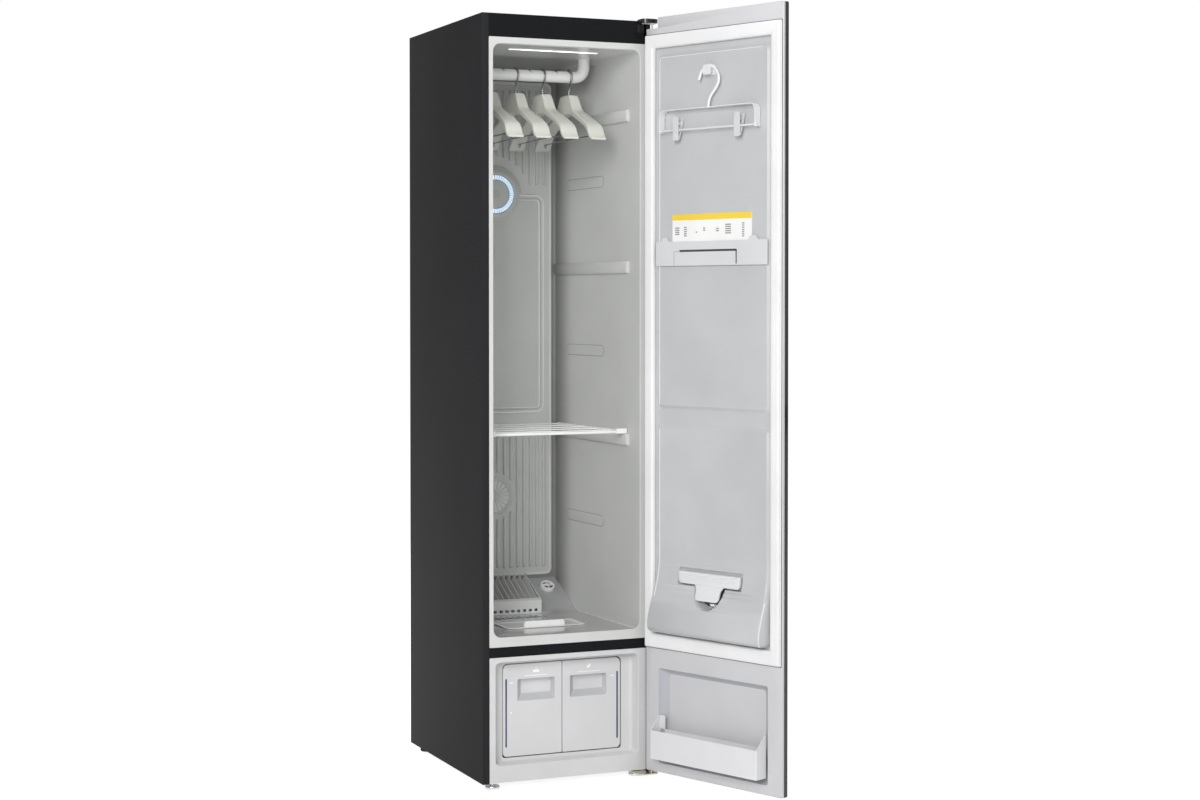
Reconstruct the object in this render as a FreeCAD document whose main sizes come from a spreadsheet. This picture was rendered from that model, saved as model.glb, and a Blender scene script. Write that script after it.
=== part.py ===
import FreeCAD, Part
import Sketcher
import math
import os
import re

# Clothes care steam cabinet. Millimetres, +Z up, +X to the right of a person facing it, front faces -Y.
# Every piece is drawn with x = 0 in the middle of the case, y = 0 in the plane of its front edges and
# the door shut. Placement then swings the door pieces open on their pins, and moves all so that the
# origin is on the floor under the middle of the whole object.

SIZES = [
    # case
    ("case_width", 438), ("case_height", 1850), ("case_depth", 543), ("case_bottom", 16),
    ("sheet", 1.2), ("front_strip", 17), ("rear_fold", 14), ("seam", 0.3),
    ("band_tall", 55.4), ("cover_back", 60), ("cover_wall", 2.5),
    ("rail_bottom", 317.3), ("rail_top", 341.7), ("rail_back", 30),
    ("skirt_drop", 14), ("skirt_front", 64), ("base_bottom", 18), ("base_sheet", 1.5),
    ("base_front", 4), ("vent_wide", 70), ("vent_tall", 4), ("vent_pitch", 12), ("vent_rows", 12),
    ("vent_bottom", 120), ("vent_side", 100), ("inlet_x", -165), ("inlet_z", 75),
    ("inlet_half_x", 14), ("inlet_half_z", 10), ("inlet_deep", 22), ("inlet_wall", 2),
    ("inlet_pin", 1.2), ("inlet_pin_gap", 7), ("inlet_pin_deep", 12),
    ("screw_radius", 1.5), ("screw_long", 8), ("screw_head_radius", 4), ("screw_head_tall", 1.8),
    ("screw_first_z", 60), ("screw_top_gap", 90), ("screw_rows", 6), ("screw_inset", 7),
    ("running", 0.05),
    # feet
    ("foot_radius", 18), ("foot_tall", 9), ("foot_stud_radius", 4), ("foot_stud_top", 34),
    ("foot_inset_x", 31), ("foot_rear_y", 500), ("foot_inset_y", 20),
    # compartment liner
    ("liner_flange", 2), ("liner_bottom", 342), ("liner_margin", 10.7), ("liner_brow", 15.3),
    ("opening_bottom", 365), ("opening_corner", 20), ("back_taper", 15), ("back_y", 508),
    ("liner_wall", 3), ("back_corner", 30),
    ("ledge_tall", 24), ("ledge_proud", 9), ("ledge_front", 62), ("ledge_short_back", 269),
    ("ledge_a_drop", 139), ("ledge_b_top", 1266), ("ledge_c_top", 840),
    ("floor_top", 361), ("floor_wall", 3), ("knee_y", 382), ("slope_angle", 29.2),
    ("duct_margin", 32), ("duct_bottom", 442), ("duct_drop", 34), ("duct_wall", 4),
    ("rib_wide", 9), ("rib_proud", 2), ("rib_pitch", 17.4), ("rib_count", 16),
    ("rib_low_bottom", 465), ("rib_low_top", 811), ("rib_outlet_gap", 82), ("rib_drop", 23),
    ("outlet_drop", 331), ("outlet_radius", 76), ("outlet_deep", 13), ("outlet_rim", 4),
    ("ring_inner", 36.5), ("ring_outer", 51), ("ring_thick", 3), ("outlet_bore", 30),
    ("grille_z", 655), ("grille_radius", 50), ("grille_rim", 8), ("grille_hub", 9),
    ("grille_deep", 4), ("grille_fin", 2), ("grille_fins", 20), ("grille_bore", 40),
    ("lens_margin", 73), ("lens_front", 84), ("lens_deep", 15), ("lens_thick", 5.5),
    # floor fittings
    ("tray_half", 100), ("tray_front", 140), ("tray_back", 230), ("tray_deep", 26), ("tray_wall", 2),
    ("tray_rim", 5), ("handle_half", 52), ("handle_tall", 13), ("handle_front", 150),
    ("handle_thick", 8), ("handle_bar", 5), ("handle_leg", 10),
    ("louvre_half", 80), ("louvre_front", 370), ("louvre_lip", 40), ("louvre_back", 474),
    ("louvre_back_z", 444), ("louvre_foot", 8), ("louvre_slot", 12), ("louvre_pitch", 16),
    ("louvre_slots", 9), ("louvre_edge", 9), ("louvre_low", 6),
    ("cap_x", 135), ("cap_y", 470), ("cap_radius", 17.5), ("cap_thick", 5), ("cap_grip", 8),
    ("cap_grip_half", 3),
    # hanger bar
    ("bar_y", 235), ("bar_drop", 47), ("bar_radius", 14.7), ("bar_bend", 26), ("post_margin", 50),
    ("post_rise", 17), ("bar_travel", 8), ("post_gap", 0.8),
    ("carriage_margin", 27), ("carriage_half_y", 44), ("carriage_rise", 5.5),
    ("carriage_plate", 4), ("rod_radius", 4), ("rod_gap_y", 33), ("rod_rise", 24),
    ("runner_half", 8), ("runner_long", 30), ("runner_x", 70), ("rod_margin", 5),
    ("rod_block", 10), ("drive_half", 42), ("drive_front", 292), ("drive_back", 380),
    ("drive_tall", 44), ("drive_motor_radius", 26), ("drive_motor_long", 60),
    ("link_half", 8), ("link_rise", 15), ("link_deep", 14), ("link_gap", 1.5),
    # hangers
    ("hanger_pitch", 72), ("hanger_first", -115), ("hook_inner", 17.5), ("hook_outer", 22),
    ("hook_top", 22.5), ("hook_inside_top", 16.6), ("hook_tip", 6), ("hook_half_thick", 6),
    ("hook_chamfer", 8),
    ("neck_half", 17), ("neck_drop", 36), ("shoulder_drop", 47), ("mid_reach", 108),
    ("mid_drop", 84), ("hanger_reach", 190), ("hanger_end_drop", 140), ("hanger_drop", 165),
    ("hanger_end_wide", 20), ("inside_drop", 90), ("inside_reach", 60), ("inside_mid_drop", 100),
    ("hanger_half_thick", 15), ("wire_radius", 1.8), ("wire_drop", 157), ("wire_reach", 182),
    # shelf
    ("shelf_front", 74), ("shelf_back", 474), ("shelf_rods", 6), ("shelf_rod", 3),
    ("shelf_rail_tall", 8), ("shelf_rail_wide", 7), ("shelf_gap", 2), ("shelf_lap", 1),
    # lower front
    ("frame_bottom", 17), ("frame_top", 317), ("frame_plate", 3), ("recess_margin", 5),
    ("recess_bottom", 58), ("recess_top", 305), ("recess_deep", 36), ("recess_wall", 2.5),
    ("recess_corner", 12), ("tank_margin", 31.2), ("tank_bottom", 68.2), ("tank_top", 294.3),
    ("tank_gap", 0.5), ("bay_wall", 3), ("bay_back", 236), ("tank_plate", 4), ("tank_start", 62),
    ("tank_end", 230), ("tank_side_gap", 4), ("tank_wall", 2.5), ("grip_bottom", 203),
    ("grip_top", 256), ("grip_near", 20), ("grip_far", 117), ("grip_deep", 20), ("grip_wall", 2),
    # machine compartment
    ("pump_x", -140), ("pump_y", 330), ("pump_radius", 52), ("pump_foot", 60), ("pump_top", 205),
    ("pump_dome", 26), ("pump_foot_tall", 8), ("boiler_wide", 105), ("boiler_margin", 19),
    ("boiler_front", 255), ("boiler_back", 400), ("boiler_top", 118), ("boiler_boss", 11),
    ("boiler_boss_tall", 14), ("coil_half", 62), ("coil_front", 262), ("coil_back", 318),
    ("coil_top", 330), ("coil_groove", 4), ("coil_pitch", 12), ("coil_count", 24),
    ("coil_plate", 6), ("fan_x", 20), ("fan_z", 190), ("fan_front", 420), ("fan_back", 500),
    ("fan_radius", 88), ("fan_wall", 3), ("fan_inlet", 52), ("fan_duct_top", 318),
    ("fan_duct_near", 28), ("wheel_radius", 70), ("wheel_gap", 5), ("wheel_hub", 16),
    ("wheel_plate", 3), ("wheel_blade", 2), ("wheel_blade_long", 14), ("wheel_blades", 24),
    ("shaft_radius", 4),
    ("hose_radius", 7), ("hose_knee_z", 215), ("hose_back_y", 526),
    # door, drawn shut
    ("door_open", 111), ("hinge_inset", 7), ("hinge_y", -24),
    ("door_bottom", 22), ("door_over", 3.5), ("door_face", 31), ("door_split", 18),
    ("door_back", 11), ("glass_plate", 2.5), ("door_side", 1.5), ("door_cap", 23),
    ("door_sill", 14), ("notch_wide", 38), ("notch_deep", 26), ("pin_radius", 2.5),
    ("pin_bite", 10.5), ("bush_radius", 7), ("bracket_plate", 3.5), ("bracket_gap", 1.5),
    ("bracket_rise", 19), ("bracket_flange", 2.5), ("bracket_half", 17), ("bracket_tall", 28),
    ("bracket_near", 172), ("bracket_back", 42), ("bracket_pad", 14),
    ("panel_margin", 30), ("panel_bottom", 361), ("panel_rise", 9),
    ("panel_rim", 17), ("panel_wall", 3), ("raised_margin", 20), ("bevel_run", 14),
    ("raised_drop", 27), ("split_top", 919), ("split_bottom", 858), ("raised_low", 400),
    ("wedge_top", 471), ("wedge_full", 402), ("wedge_bottom", 372), ("wedge_out", 29),
    ("wedge_margin", 14), ("clip_bay_half", 46), ("clip_bay_bottom", 441), ("clip_bay_top", 500),
    ("clip_bay_back", 13), ("gasket_margin", 3), ("gasket_lap", 1.5),
    ("gasket_bottom", 326), ("gasket_over", 16.7), ("gasket_in_bottom", 362),
    ("gasket_under", 2), ("gasket_front", 1), ("gasket_corner", 3),
    ("pan_margin", 42), ("pan_bottom", 44), ("pan_top", 278), ("pan_deep", 14), ("pan_run", 20),
    ("pan_skin", 2.5), ("boss_x", 110), ("boss_half", 14), ("boss_bottom", 84), ("boss_top", 108),
    ("basket_gap", 6), ("basket_bottom", 62), ("basket_top", 131), ("basket_ear", 162),
    ("basket_front", 25), ("basket_wall", 2.2), ("basket_floor", 3),
    ("peg_radius", 7), ("peg_rise", 23), ("peg_out", 7.5), ("peg_plate", 12), ("peg_lip_thick", 3),
    ("peg_plate_thick", 3), ("rack_margin", 11), ("rack_bottom", 1252), ("rack_top", 1310),
    ("rack_ear", 1321), ("rack_ear_in", 142), ("rack_ear_out", 168), ("rack_thick", 3),
    ("rack_stand", 2.5), ("rack_tab_half", 100), ("rack_slot", 5), ("rack_slot_z", 1290),
    ("lever_half", 97), ("lever_top", 522), ("lever_thick", 9), ("lever_stand", 1.5),
    ("paddle_half", 30), ("paddle_bottom", 457), ("paddle_thick", 4), ("paddle_lean", 9),
    ("clip_lug_x", 34), ("lever_pin_y", -8.5), ("lever_pin_drop", 4.5), ("lever_pin_radius", 2),
    ("lever_boss", 3.9), ("clip_lug_half", 3.5),
    ("loop_drop", 90), ("loop_outer", 35), ("loop_inner", 31), ("loop_thick", 4),
    ("loop_y", 2), ("loop_cut_drop", 6),
    ("yoke_half", 154), ("yoke_below", 69), ("yoke_tall", 6), ("yoke_deep", 45),
    ("yoke_leg", 6), ("yoke_wire", 3), ("grip_x", 98), ("grip_half", 17), ("grip_below", 70),
    ("grip_tall", 56), ("grip_thick", 12), ("grip_bore_gap", 0.2),
    ("overcut", 1),
]

# Sizes that follow from the ones above.
FOLLOWS = [
    ("liner_half", "case_width/2-front_strip-seam"),
    ("opening_half", "liner_half-liner_margin"),
    ("back_half", "opening_half-back_taper"),
    ("cover_bottom", "case_height-band_tall"),
    ("liner_top", "cover_bottom-seam"),
    ("opening_top", "liner_top-liner_brow"),
    ("screw_pitch", "(case_height-screw_first_z-screw_top_gap)/(screw_rows-1)"),
    ("foot_x", "case_width/2-foot_inset_x"),
    ("ledge_a_top", "opening_top-ledge_a_drop"),
    ("duct_half", "back_half-duct_margin"),
    ("duct_top", "opening_top-duct_drop"),
    ("outlet_z", "opening_top-outlet_drop"),
    ("rib_high_bottom", "outlet_z+rib_outlet_gap"),
    ("rib_high_top", "duct_top-rib_drop"),
    ("lens_half", "opening_half-lens_margin"),
    ("bar_z", "opening_top-bar_drop"),
    ("post_x", "opening_half-post_margin"),
    ("post_top", "opening_top+post_rise"),
    ("carriage_half", "opening_half-carriage_margin"),
    ("carriage_bottom", "opening_top+carriage_rise"),
    ("rod_z", "opening_top+rod_rise"),
    ("rod_end", "opening_half-rod_margin"),
    ("link_top", "opening_top+link_rise"),
    ("shelf_pitch", "(shelf_back-shelf_front)/(shelf_rods-1)"),
    ("recess_half", "opening_half-recess_margin"),
    ("tank_half_span", "recess_half-tank_margin"),
    ("boiler_far", "case_width/2-boiler_margin"),
    ("boiler_near", "boiler_far-boiler_wide"),
    ("door_half", "case_width/2"),
    ("door_top", "case_height+door_over"),
    ("hinge_x", "case_width/2-hinge_inset"),
    ("panel_half", "door_half-panel_margin"),
    ("panel_top", "opening_top"),
    ("raised_half", "panel_half-raised_margin"),
    ("raised_top", "panel_top-raised_drop"),
    ("wedge_half", "panel_half-wedge_margin"),
    ("gasket_outer", "door_half-gasket_margin"),
    ("gasket_inner", "panel_half-gasket_lap"),
    ("gasket_top", "liner_top+gasket_over"),
    ("gasket_in_top", "panel_top-gasket_under"),
    ("pan_half", "door_half-pan_margin"),
    ("basket_half", "pan_half-basket_gap"),
    ("rack_half", "panel_half-rack_margin"),
    ("loop_z", "panel_top-loop_drop"),
    ("peg_z", "loop_z+peg_rise"),
    ("peg_low", "peg_z-peg_plate"),
    ("peg_lip", "peg_z+peg_plate"),
    ("yoke_z", "loop_z-yoke_below"),
    ("yoke_drop", "yoke_z-yoke_deep"),
    ("grip_low", "yoke_z-grip_below"),
    ("grip_high", "grip_low+grip_tall"),
    ("lever_pin_z", "clip_bay_top-lever_pin_drop"),
    # how far the open door stands ahead of and aside of its pins, and the middle of the whole object
    ("door_ahead", "(hinge_x+gasket_outer)*sin(door_open)-(gasket_front+hinge_y)*cos(180-door_open)"),
    ("door_aside", "(hinge_x+door_half)*cos(180-door_open)+(door_face+hinge_y)*sin(door_open)"),
    ("origin_x", "(hinge_x+door_aside-case_width/2)/2"),
    ("origin_y", "(case_depth+screw_head_tall+hinge_y-door_ahead)/2"),
]

doc = FreeCAD.newDocument("SteamCabinet")
sheet = doc.addObject("Spreadsheet::Sheet", "Sizes")
for row, (alias, value) in enumerate(SIZES, 1):
    sheet.set("A%d" % row, alias)
    sheet.set("B%d" % row, str(value))
    sheet.setAlias("B%d" % row, alias)
doc.recompute()
follow = doc.addObject("App::FeaturePython", "Follows")
SHEET_WORDS = {alias for alias, value in SIZES}
FOLLOW_WORDS = {alias for alias, text in FOLLOWS}
NODES = []


def bind(target, path, text):
    def word(found):
        name = found.group(0)
        if name in SHEET_WORDS:
            return "Sizes." + name
        return "Follows." + name if name in FOLLOW_WORDS and target is not follow else name
    target.setExpression(path, re.sub(r"[A-Za-z_]\w*", word, text))


for alias, text in FOLLOWS:
    follow.addProperty("App::PropertyFloat", alias)
    bind(follow, alias, text)
doc.recompute()


def number(name):
    return getattr(follow, name) if name in FOLLOW_WORDS else float(sheet.get(name))


def origin_item(body, role):
    return [item for item in body.Origin.OriginFeatures if item.Role == role][0]


def rect(u0, u1, v0, v1):
    return [(u0, v0), (u1, v0), (u1, v1), (u0, v1)]


def wide(half, v0, v1):
    return rect("-(%s)" % half, half, v0, v1)


def mirrored(outline):
    return [("-(%s)" % u, v) for u, v in outline]


def sketch(body, plane, start, outlines, circles):
    drawn = body.newObject("Sketcher::SketchObject", "Sketch")
    drawn.AttachmentSupport = [(origin_item(body, plane + "_Plane"), "")]
    drawn.MapMode = "FlatFace"
    bind(drawn, "AttachmentOffset.Base.z", "-(%s)" % start if plane == "XZ" else start)
    for outline in outlines:
        count = len(outline)
        first = drawn.GeometryCount
        ring = [FreeCAD.Vector(math.cos(2 * math.pi * k / count), math.sin(2 * math.pi * k / count), 0)
                for k in range(count)]
        for k in range(count):
            drawn.addGeometry(Part.LineSegment(ring[k], ring[(k + 1) % count]))
        for k in range(count):
            after = first + (k + 1) % count
            drawn.addConstraint(Sketcher.Constraint("Coincident", first + k, 2, after, 1))
        for k, (u, v) in enumerate(outline):
            across = drawn.addConstraint(Sketcher.Constraint("DistanceX", -1, 1, first + k, 1, 1.0))
            bind(drawn, "Constraints[%d]" % across, u)
            along = drawn.addConstraint(Sketcher.Constraint("DistanceY", -1, 1, first + k, 1, 1.0))
            bind(drawn, "Constraints[%d]" % along, v)
    for u, v, radius in circles:
        ring = drawn.addGeometry(Part.Circle(FreeCAD.Vector(1, 1, 0), FreeCAD.Vector(0, 0, 1), 1))
        across = drawn.addConstraint(Sketcher.Constraint("DistanceX", -1, 1, ring, 3, 1.0))
        bind(drawn, "Constraints[%d]" % across, u)
        along = drawn.addConstraint(Sketcher.Constraint("DistanceY", -1, 1, ring, 3, 1.0))
        bind(drawn, "Constraints[%d]" % along, v)
        reach = drawn.addConstraint(Sketcher.Constraint("Radius", ring, 1.0))
        bind(drawn, "Constraints[%d]" % reach, radius)
    return drawn


def pad(body, plane, start, length, outlines=(), circles=()):
    made = body.newObject("PartDesign::Pad", "Pad")
    made.Profile = sketch(body, plane, start, outlines, circles)
    made.Reversed = plane == "XZ"
    bind(made, "Length", length)
    body.Tip = made
    return made


def cut(body, plane, start, length, outlines=(), circles=()):
    doc.recompute()
    before = body.Shape.Volume
    made = body.newObject("PartDesign::Pocket", "Pocket")
    made.Profile = sketch(body, plane, start, outlines, circles)
    made.Reversed = plane != "XZ"
    bind(made, "Length", length)
    body.Tip = made
    doc.recompute()
    if not body.Shape.Volume < before:
        raise RuntimeError("a pocket in %s removes nothing" % body.Label)
    return made


def repeat(body, features, axis, pitch, count):
    made = body.newObject("PartDesign::LinearPattern", "Row")
    made.Originals = features
    made.Direction = (origin_item(body, axis + "_Axis"), [""])
    made.Mode = "Spacing"
    bind(made, "Offset", pitch)
    bind(made, "Occurrences", count)
    body.Tip = made
    return made


def around(body, features, axis, count):
    made = body.newObject("PartDesign::PolarPattern", "Ring")
    made.Originals = features
    made.Axis = (origin_item(body, axis + "_Axis"), [""])
    made.Angle = 360
    bind(made, "Occurrences", count)
    body.Tip = made
    return made


def turn(body, plane, axis, outline):
    made = body.newObject("PartDesign::Revolution", "Turned")
    made.Profile = sketch(body, plane, "0", [outline], [])
    made.ReferenceAxis = (made.Profile[0], [axis])
    made.Angle = 360
    body.Tip = made
    return made


def soften(body, radius, axis, test):
    doc.recompute()
    base = body.Tip
    chosen = []
    for index, edge in enumerate(body.Shape.Edges, 1):
        box = edge.BoundBox
        spans = {"x": box.XLength, "y": box.YLength, "z": box.ZLength}
        straight = edge.Curve.TypeId == "Part::GeomLine"
        if straight and abs(spans[axis] - edge.Length) < 1e-4 and test(box.Center):
            chosen.append("Edge%d" % index)
    if not chosen:
        raise RuntimeError("no edge to round on %s" % body.Label)
    made = body.newObject("PartDesign::Fillet", "Fillet")
    made.Base = (base, chosen)
    bind(made, "Radius", radius)
    body.Tip = made
    return made


def body_named(name):
    body = doc.addObject("PartDesign::Body", name)
    body.Label = name
    body.AllowCompound = True
    NODES.append(body)
    return body


def in_case(made, x="0", y="0", z="0"):
    bind(made, "Placement.Base.x", "%s-origin_x" % x)
    bind(made, "Placement.Base.y", "%s-origin_y" % y)
    bind(made, "Placement.Base.z", z)


def on_door(made, x="0", y="0", z="0"):
    made.Placement = FreeCAD.Placement(FreeCAD.Vector(), FreeCAD.Rotation(FreeCAD.Vector(0, 0, 1), 1))
    bind(made, "Placement.Rotation.Angle", "door_open")
    span_x = "(%s-hinge_x)" % x
    span_y = "(%s-hinge_y)" % y
    bind(made, "Placement.Base.x",
         "hinge_x+%s*cos(door_open)-%s*sin(door_open)-origin_x" % (span_x, span_y))
    bind(made, "Placement.Base.y",
         "hinge_y+%s*sin(door_open)+%s*cos(door_open)-origin_y" % (span_x, span_y))
    bind(made, "Placement.Base.z", z)


def wall_x(y):
    return "(opening_half-(opening_half-back_half)*(%s)/back_y)" % y


def slope_z(y):
    return "(floor_top+(%s-knee_y)*tan(slope_angle))" % y


def near(value, wanted):
    return abs(value - wanted) < 1e-3


# ---- case shells ----------------------------------------------------------------------------------
screw_x = "case_width/2-screw_inset"
for name, side in (("left_side_panel", "-"), ("right_side_panel", "")):
    body = body_named(name)
    edge = side + "(case_width/2)"
    inner = side + "(case_width/2-sheet)"
    strip = side + "(case_width/2-front_strip)"
    fold = side + "(case_width/2-rear_fold)"
    pad(body, "XY", "case_bottom", "case_height-sheet-case_bottom",
        [[(strip, "0"), (edge, "0"), (edge, "case_depth-sheet"), (fold, "case_depth-sheet"),
          (fold, "case_depth-2*sheet"), (inner, "case_depth-2*sheet"), (inner, "sheet"), (strip, "sheet")]])
    holes = cut(body, "XZ", "case_depth-3*sheet", "3*sheet", [],
                [(side + "(%s)" % screw_x, "screw_first_z", "screw_radius+running")])
    repeat(body, [holes], "Z", "screw_pitch", "screw_rows")
    in_case(body)

top = body_named("top_panel")
pad(top, "XY", "case_height-sheet", "sheet", [wide("case_width/2", "0", "case_depth")])
skirt = rect("case_width/2-2*sheet-seam", "case_width/2-sheet-seam", "skirt_front",
             "case_depth-3*sheet")
pad(top, "XY", "case_height-sheet-skirt_drop", "skirt_drop", [skirt, mirrored(skirt)])
in_case(top)

back = body_named("back_panel")
pad(back, "XZ", "case_depth-sheet", "sheet",
    [wide("case_width/2", "case_bottom", "case_height-sheet")])
vent = rect("vent_side-vent_wide/2", "vent_side+vent_wide/2", "vent_bottom", "vent_bottom+vent_tall")
vents = cut(back, "XZ", "case_depth-2*sheet", "3*sheet", [vent, mirrored(vent)])
repeat(back, [vents], "Z", "vent_pitch", "vent_rows")
cut(back, "XZ", "case_depth-2*sheet", "3*sheet",
    [rect("inlet_x-inlet_half_x-seam", "inlet_x+inlet_half_x+seam",
          "inlet_z-inlet_half_z-seam", "inlet_z+inlet_half_z+seam")])
holes = cut(back, "XZ", "case_depth-2*sheet", "3*sheet", [],
            [(screw_x, "screw_first_z", "screw_radius+running"),
             ("-(%s)" % screw_x, "screw_first_z", "screw_radius+running")])
repeat(back, [holes], "Z", "screw_pitch", "screw_rows")
in_case(back)

screws = body_named("rear_panel_screws")
shanks = pad(screws, "XZ", "case_depth-screw_long", "screw_long", [],
             [(screw_x, "screw_first_z", "screw_radius"),
              ("-(%s)" % screw_x, "screw_first_z", "screw_radius")])
heads = pad(screws, "XZ", "case_depth", "screw_head_tall", [],
            [(screw_x, "screw_first_z", "screw_head_radius"),
             ("-(%s)" % screw_x, "screw_first_z", "screw_head_radius")])
repeat(screws, [shanks, heads], "Z", "screw_pitch", "screw_rows")
in_case(screws)

base = body_named("base_plate")
pad(base, "XY", "base_bottom", "base_sheet",
    [wide("case_width/2-sheet-seam", "base_front", "case_depth-2*sheet-seam")])
cut(base, "XY", "base_bottom-overcut", "base_sheet+2*overcut", [],
    [("foot_x", "foot_inset_y", "foot_stud_radius+running"),
     ("-foot_x", "foot_inset_y", "foot_stud_radius+running"),
     ("foot_x", "foot_rear_y", "foot_stud_radius+running"),
     ("-foot_x", "foot_rear_y", "foot_stud_radius+running")])
in_case(base)

for name, x in (("front_foot_left", "-foot_x"), ("front_foot_right", "foot_x")):
    foot = body_named(name)
    pad(foot, "XY", "0", "foot_tall", [], [("0", "0", "foot_radius")])
    pad(foot, "XY", "foot_tall", "foot_stud_top-foot_tall", [], [("0", "0", "foot_stud_radius")])
    in_case(foot, x, "foot_inset_y")

rear_feet = body_named("rear_feet")
pad(rear_feet, "XY", "0", "base_bottom", [],
    [("foot_x", "foot_rear_y", "foot_radius"), ("-foot_x", "foot_rear_y", "foot_radius")])
pad(rear_feet, "XY", "base_bottom", "foot_stud_top-base_bottom", [],
    [("foot_x", "foot_rear_y", "foot_stud_radius"), ("-foot_x", "foot_rear_y", "foot_stud_radius")])
in_case(rear_feet)

cover = body_named("top_front_cover")
pad(cover, "YZ", "-(case_width/2-front_strip-seam)", "case_width-2*front_strip-2*seam",
    [[("0", "cover_bottom"), ("cover_back", "cover_bottom"), ("cover_back", "cover_bottom+cover_wall"),
      ("cover_wall", "cover_bottom+cover_wall"), ("cover_wall", "case_height-sheet-seam"),
      ("0", "case_height-sheet-seam")]])
in_case(cover)

rail = body_named("middle_rail")
pad(rail, "YZ", "-(case_width/2-front_strip-seam)", "case_width-2*front_strip-2*seam",
    [[("0", "rail_bottom"), ("rail_back", "rail_bottom"), ("rail_back", "rail_bottom+cover_wall"),
      ("cover_wall", "rail_bottom+cover_wall"), ("cover_wall", "rail_top-cover_wall"),
      ("rail_back", "rail_top-cover_wall"), ("rail_back", "rail_top"), ("0", "rail_top")]])
in_case(rail)

# ---- compartment ----------------------------------------------------------------------------------
liner = body_named("cabinet_liner")
outer_front = "(opening_half+liner_wall)"
outer_back = "(back_half+liner_wall)"
pad(liner, "XZ", "0", "liner_flange",
    [wide("liner_half", "liner_bottom", "liner_top"), wide("opening_half", "opening_bottom", "opening_top")])
soften(liner, "opening_corner", "y", lambda p: near(abs(p.x), number("opening_half")))
pad(liner, "XY", "liner_bottom", "opening_top-liner_bottom",
    [[("-" + outer_front, "liner_flange"), ("-opening_half", "liner_flange"), ("-back_half", "back_y"),
      ("back_half", "back_y"), ("opening_half", "liner_flange"), (outer_front, "liner_flange"),
      (outer_back, "back_y+liner_wall"), ("-" + outer_back, "back_y+liner_wall")]])
soften(liner, "back_corner", "z",
       lambda p: near(abs(p.x), number("back_half")) and near(p.y, number("back_y")))
pad(liner, "XY", "opening_top", "liner_wall",
    [[("-" + outer_front, "liner_flange"), (outer_front, "liner_flange"),
      (outer_back, "back_y+liner_wall"), ("-" + outer_back, "back_y+liner_wall")]])
for top_z, back_end in (("ledge_a_top", "ledge_short_back"), ("ledge_b_top", "back_y"),
                        ("ledge_c_top", "back_y")):
    ledge = [(wall_x("ledge_front") + "+liner_wall/2", "ledge_front"),
             (wall_x("ledge_front") + "-ledge_proud", "ledge_front"),
             (wall_x(back_end) + "-ledge_proud", back_end),
             (wall_x(back_end) + "+liner_wall/2", back_end)]
    pad(liner, "XY", top_z + "-ledge_tall", "ledge_tall", [ledge, mirrored(ledge)])
slot = wide("bar_radius+bar_travel+post_gap", "bar_y-bar_radius-post_gap", "bar_y+bar_radius+post_gap")
slot_right = [("post_x+%s" % u, v) for u, v in slot]
cut(liner, "XY", "opening_top-overcut", "liner_wall+2*overcut", [slot_right, mirrored(slot_right)])
cut(liner, "XZ", "back_y-overcut", "liner_wall+2*overcut", [],
    [("0", "outlet_z", "outlet_bore"), ("0", "grille_z", "grille_bore")])
in_case(liner)

floor = body_named("compartment_floor")
floor_end = "(back_y-seam)"
pad(floor, "YZ", "-opening_half", "2*opening_half",
    [[("liner_flange+seam", "floor_top-floor_wall"), ("knee_y", "floor_top-floor_wall"),
      (floor_end, slope_z(floor_end) + "-floor_wall"), (floor_end, slope_z(floor_end)),
      ("knee_y", "floor_top"), ("liner_flange+seam", "floor_top")]])
trim = [(wall_x("0") + "-seam", "0"), ("opening_half+liner_wall", "0"),
        ("opening_half+liner_wall", "back_y"), (wall_x("back_y") + "-seam", "back_y")]
cut(floor, "XY", "floor_top-2*floor_wall", "case_width", [trim, mirrored(trim)])
cut(floor, "XY", "floor_top-2*floor_wall", "3*floor_wall", [wide("tray_half", "tray_front", "tray_back")])
corner_y = "(back_y-back_corner)"
corner = [("back_half-back_corner", "back_y"), (wall_x(corner_y), corner_y),
          ("opening_half", corner_y), ("opening_half", "back_y")]
cut(floor, "XY", "floor_top-2*floor_wall", "case_width", [corner, mirrored(corner)])
in_case(floor)

duct = body_named("rear_duct_cover")
duct_front = "back_y-seam-duct_wall"
pad(duct, "XZ", duct_front, "duct_wall", [wide("duct_half", "duct_bottom", "duct_top")])
rib_first = "-(rib_count-1)*rib_pitch/2"
ribs = pad(duct, "XZ", duct_front + "-rib_proud", "rib_proud",
           [rect(rib_first + "-rib_wide/2", rib_first + "+rib_wide/2", "rib_low_bottom", "rib_low_top"),
            rect(rib_first + "-rib_wide/2", rib_first + "+rib_wide/2", "rib_high_bottom", "rib_high_top")])
repeat(duct, [ribs], "X", "rib_pitch", "rib_count")
cut(duct, "XZ", duct_front + "-2*rib_proud", "duct_wall+3*rib_proud", [],
    [("0", "outlet_z", "outlet_bore"), ("0", "grille_z", "grille_radius+seam")])
in_case(duct)

outlet = body_named("steam_outlet_cover")
turn(outlet, "YZ", "H_Axis",
     [("0", "0"), ("0", "outlet_radius"), ("-outlet_rim", "outlet_radius"),
      ("-outlet_deep+ring_thick", "outlet_radius-3*outlet_rim"), ("-outlet_deep", "ring_outer+seam"),
      ("-outlet_deep+ring_thick", "ring_outer+seam"), ("-outlet_deep+ring_thick", "ring_inner-seam"),
      ("-outlet_deep", "ring_inner-seam"), ("-outlet_deep", "0")])
in_case(outlet, "0", duct_front + "-seam", "outlet_z")

light_ring = body_named("outlet_light_ring")
turn(light_ring, "YZ", "H_Axis",
     [("-outlet_deep+ring_thick", "ring_inner"), ("-outlet_deep+ring_thick", "ring_outer"),
      ("-outlet_deep", "ring_outer"), ("-outlet_deep", "ring_inner")])
in_case(light_ring, "0", duct_front + "-seam", "outlet_z")

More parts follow.
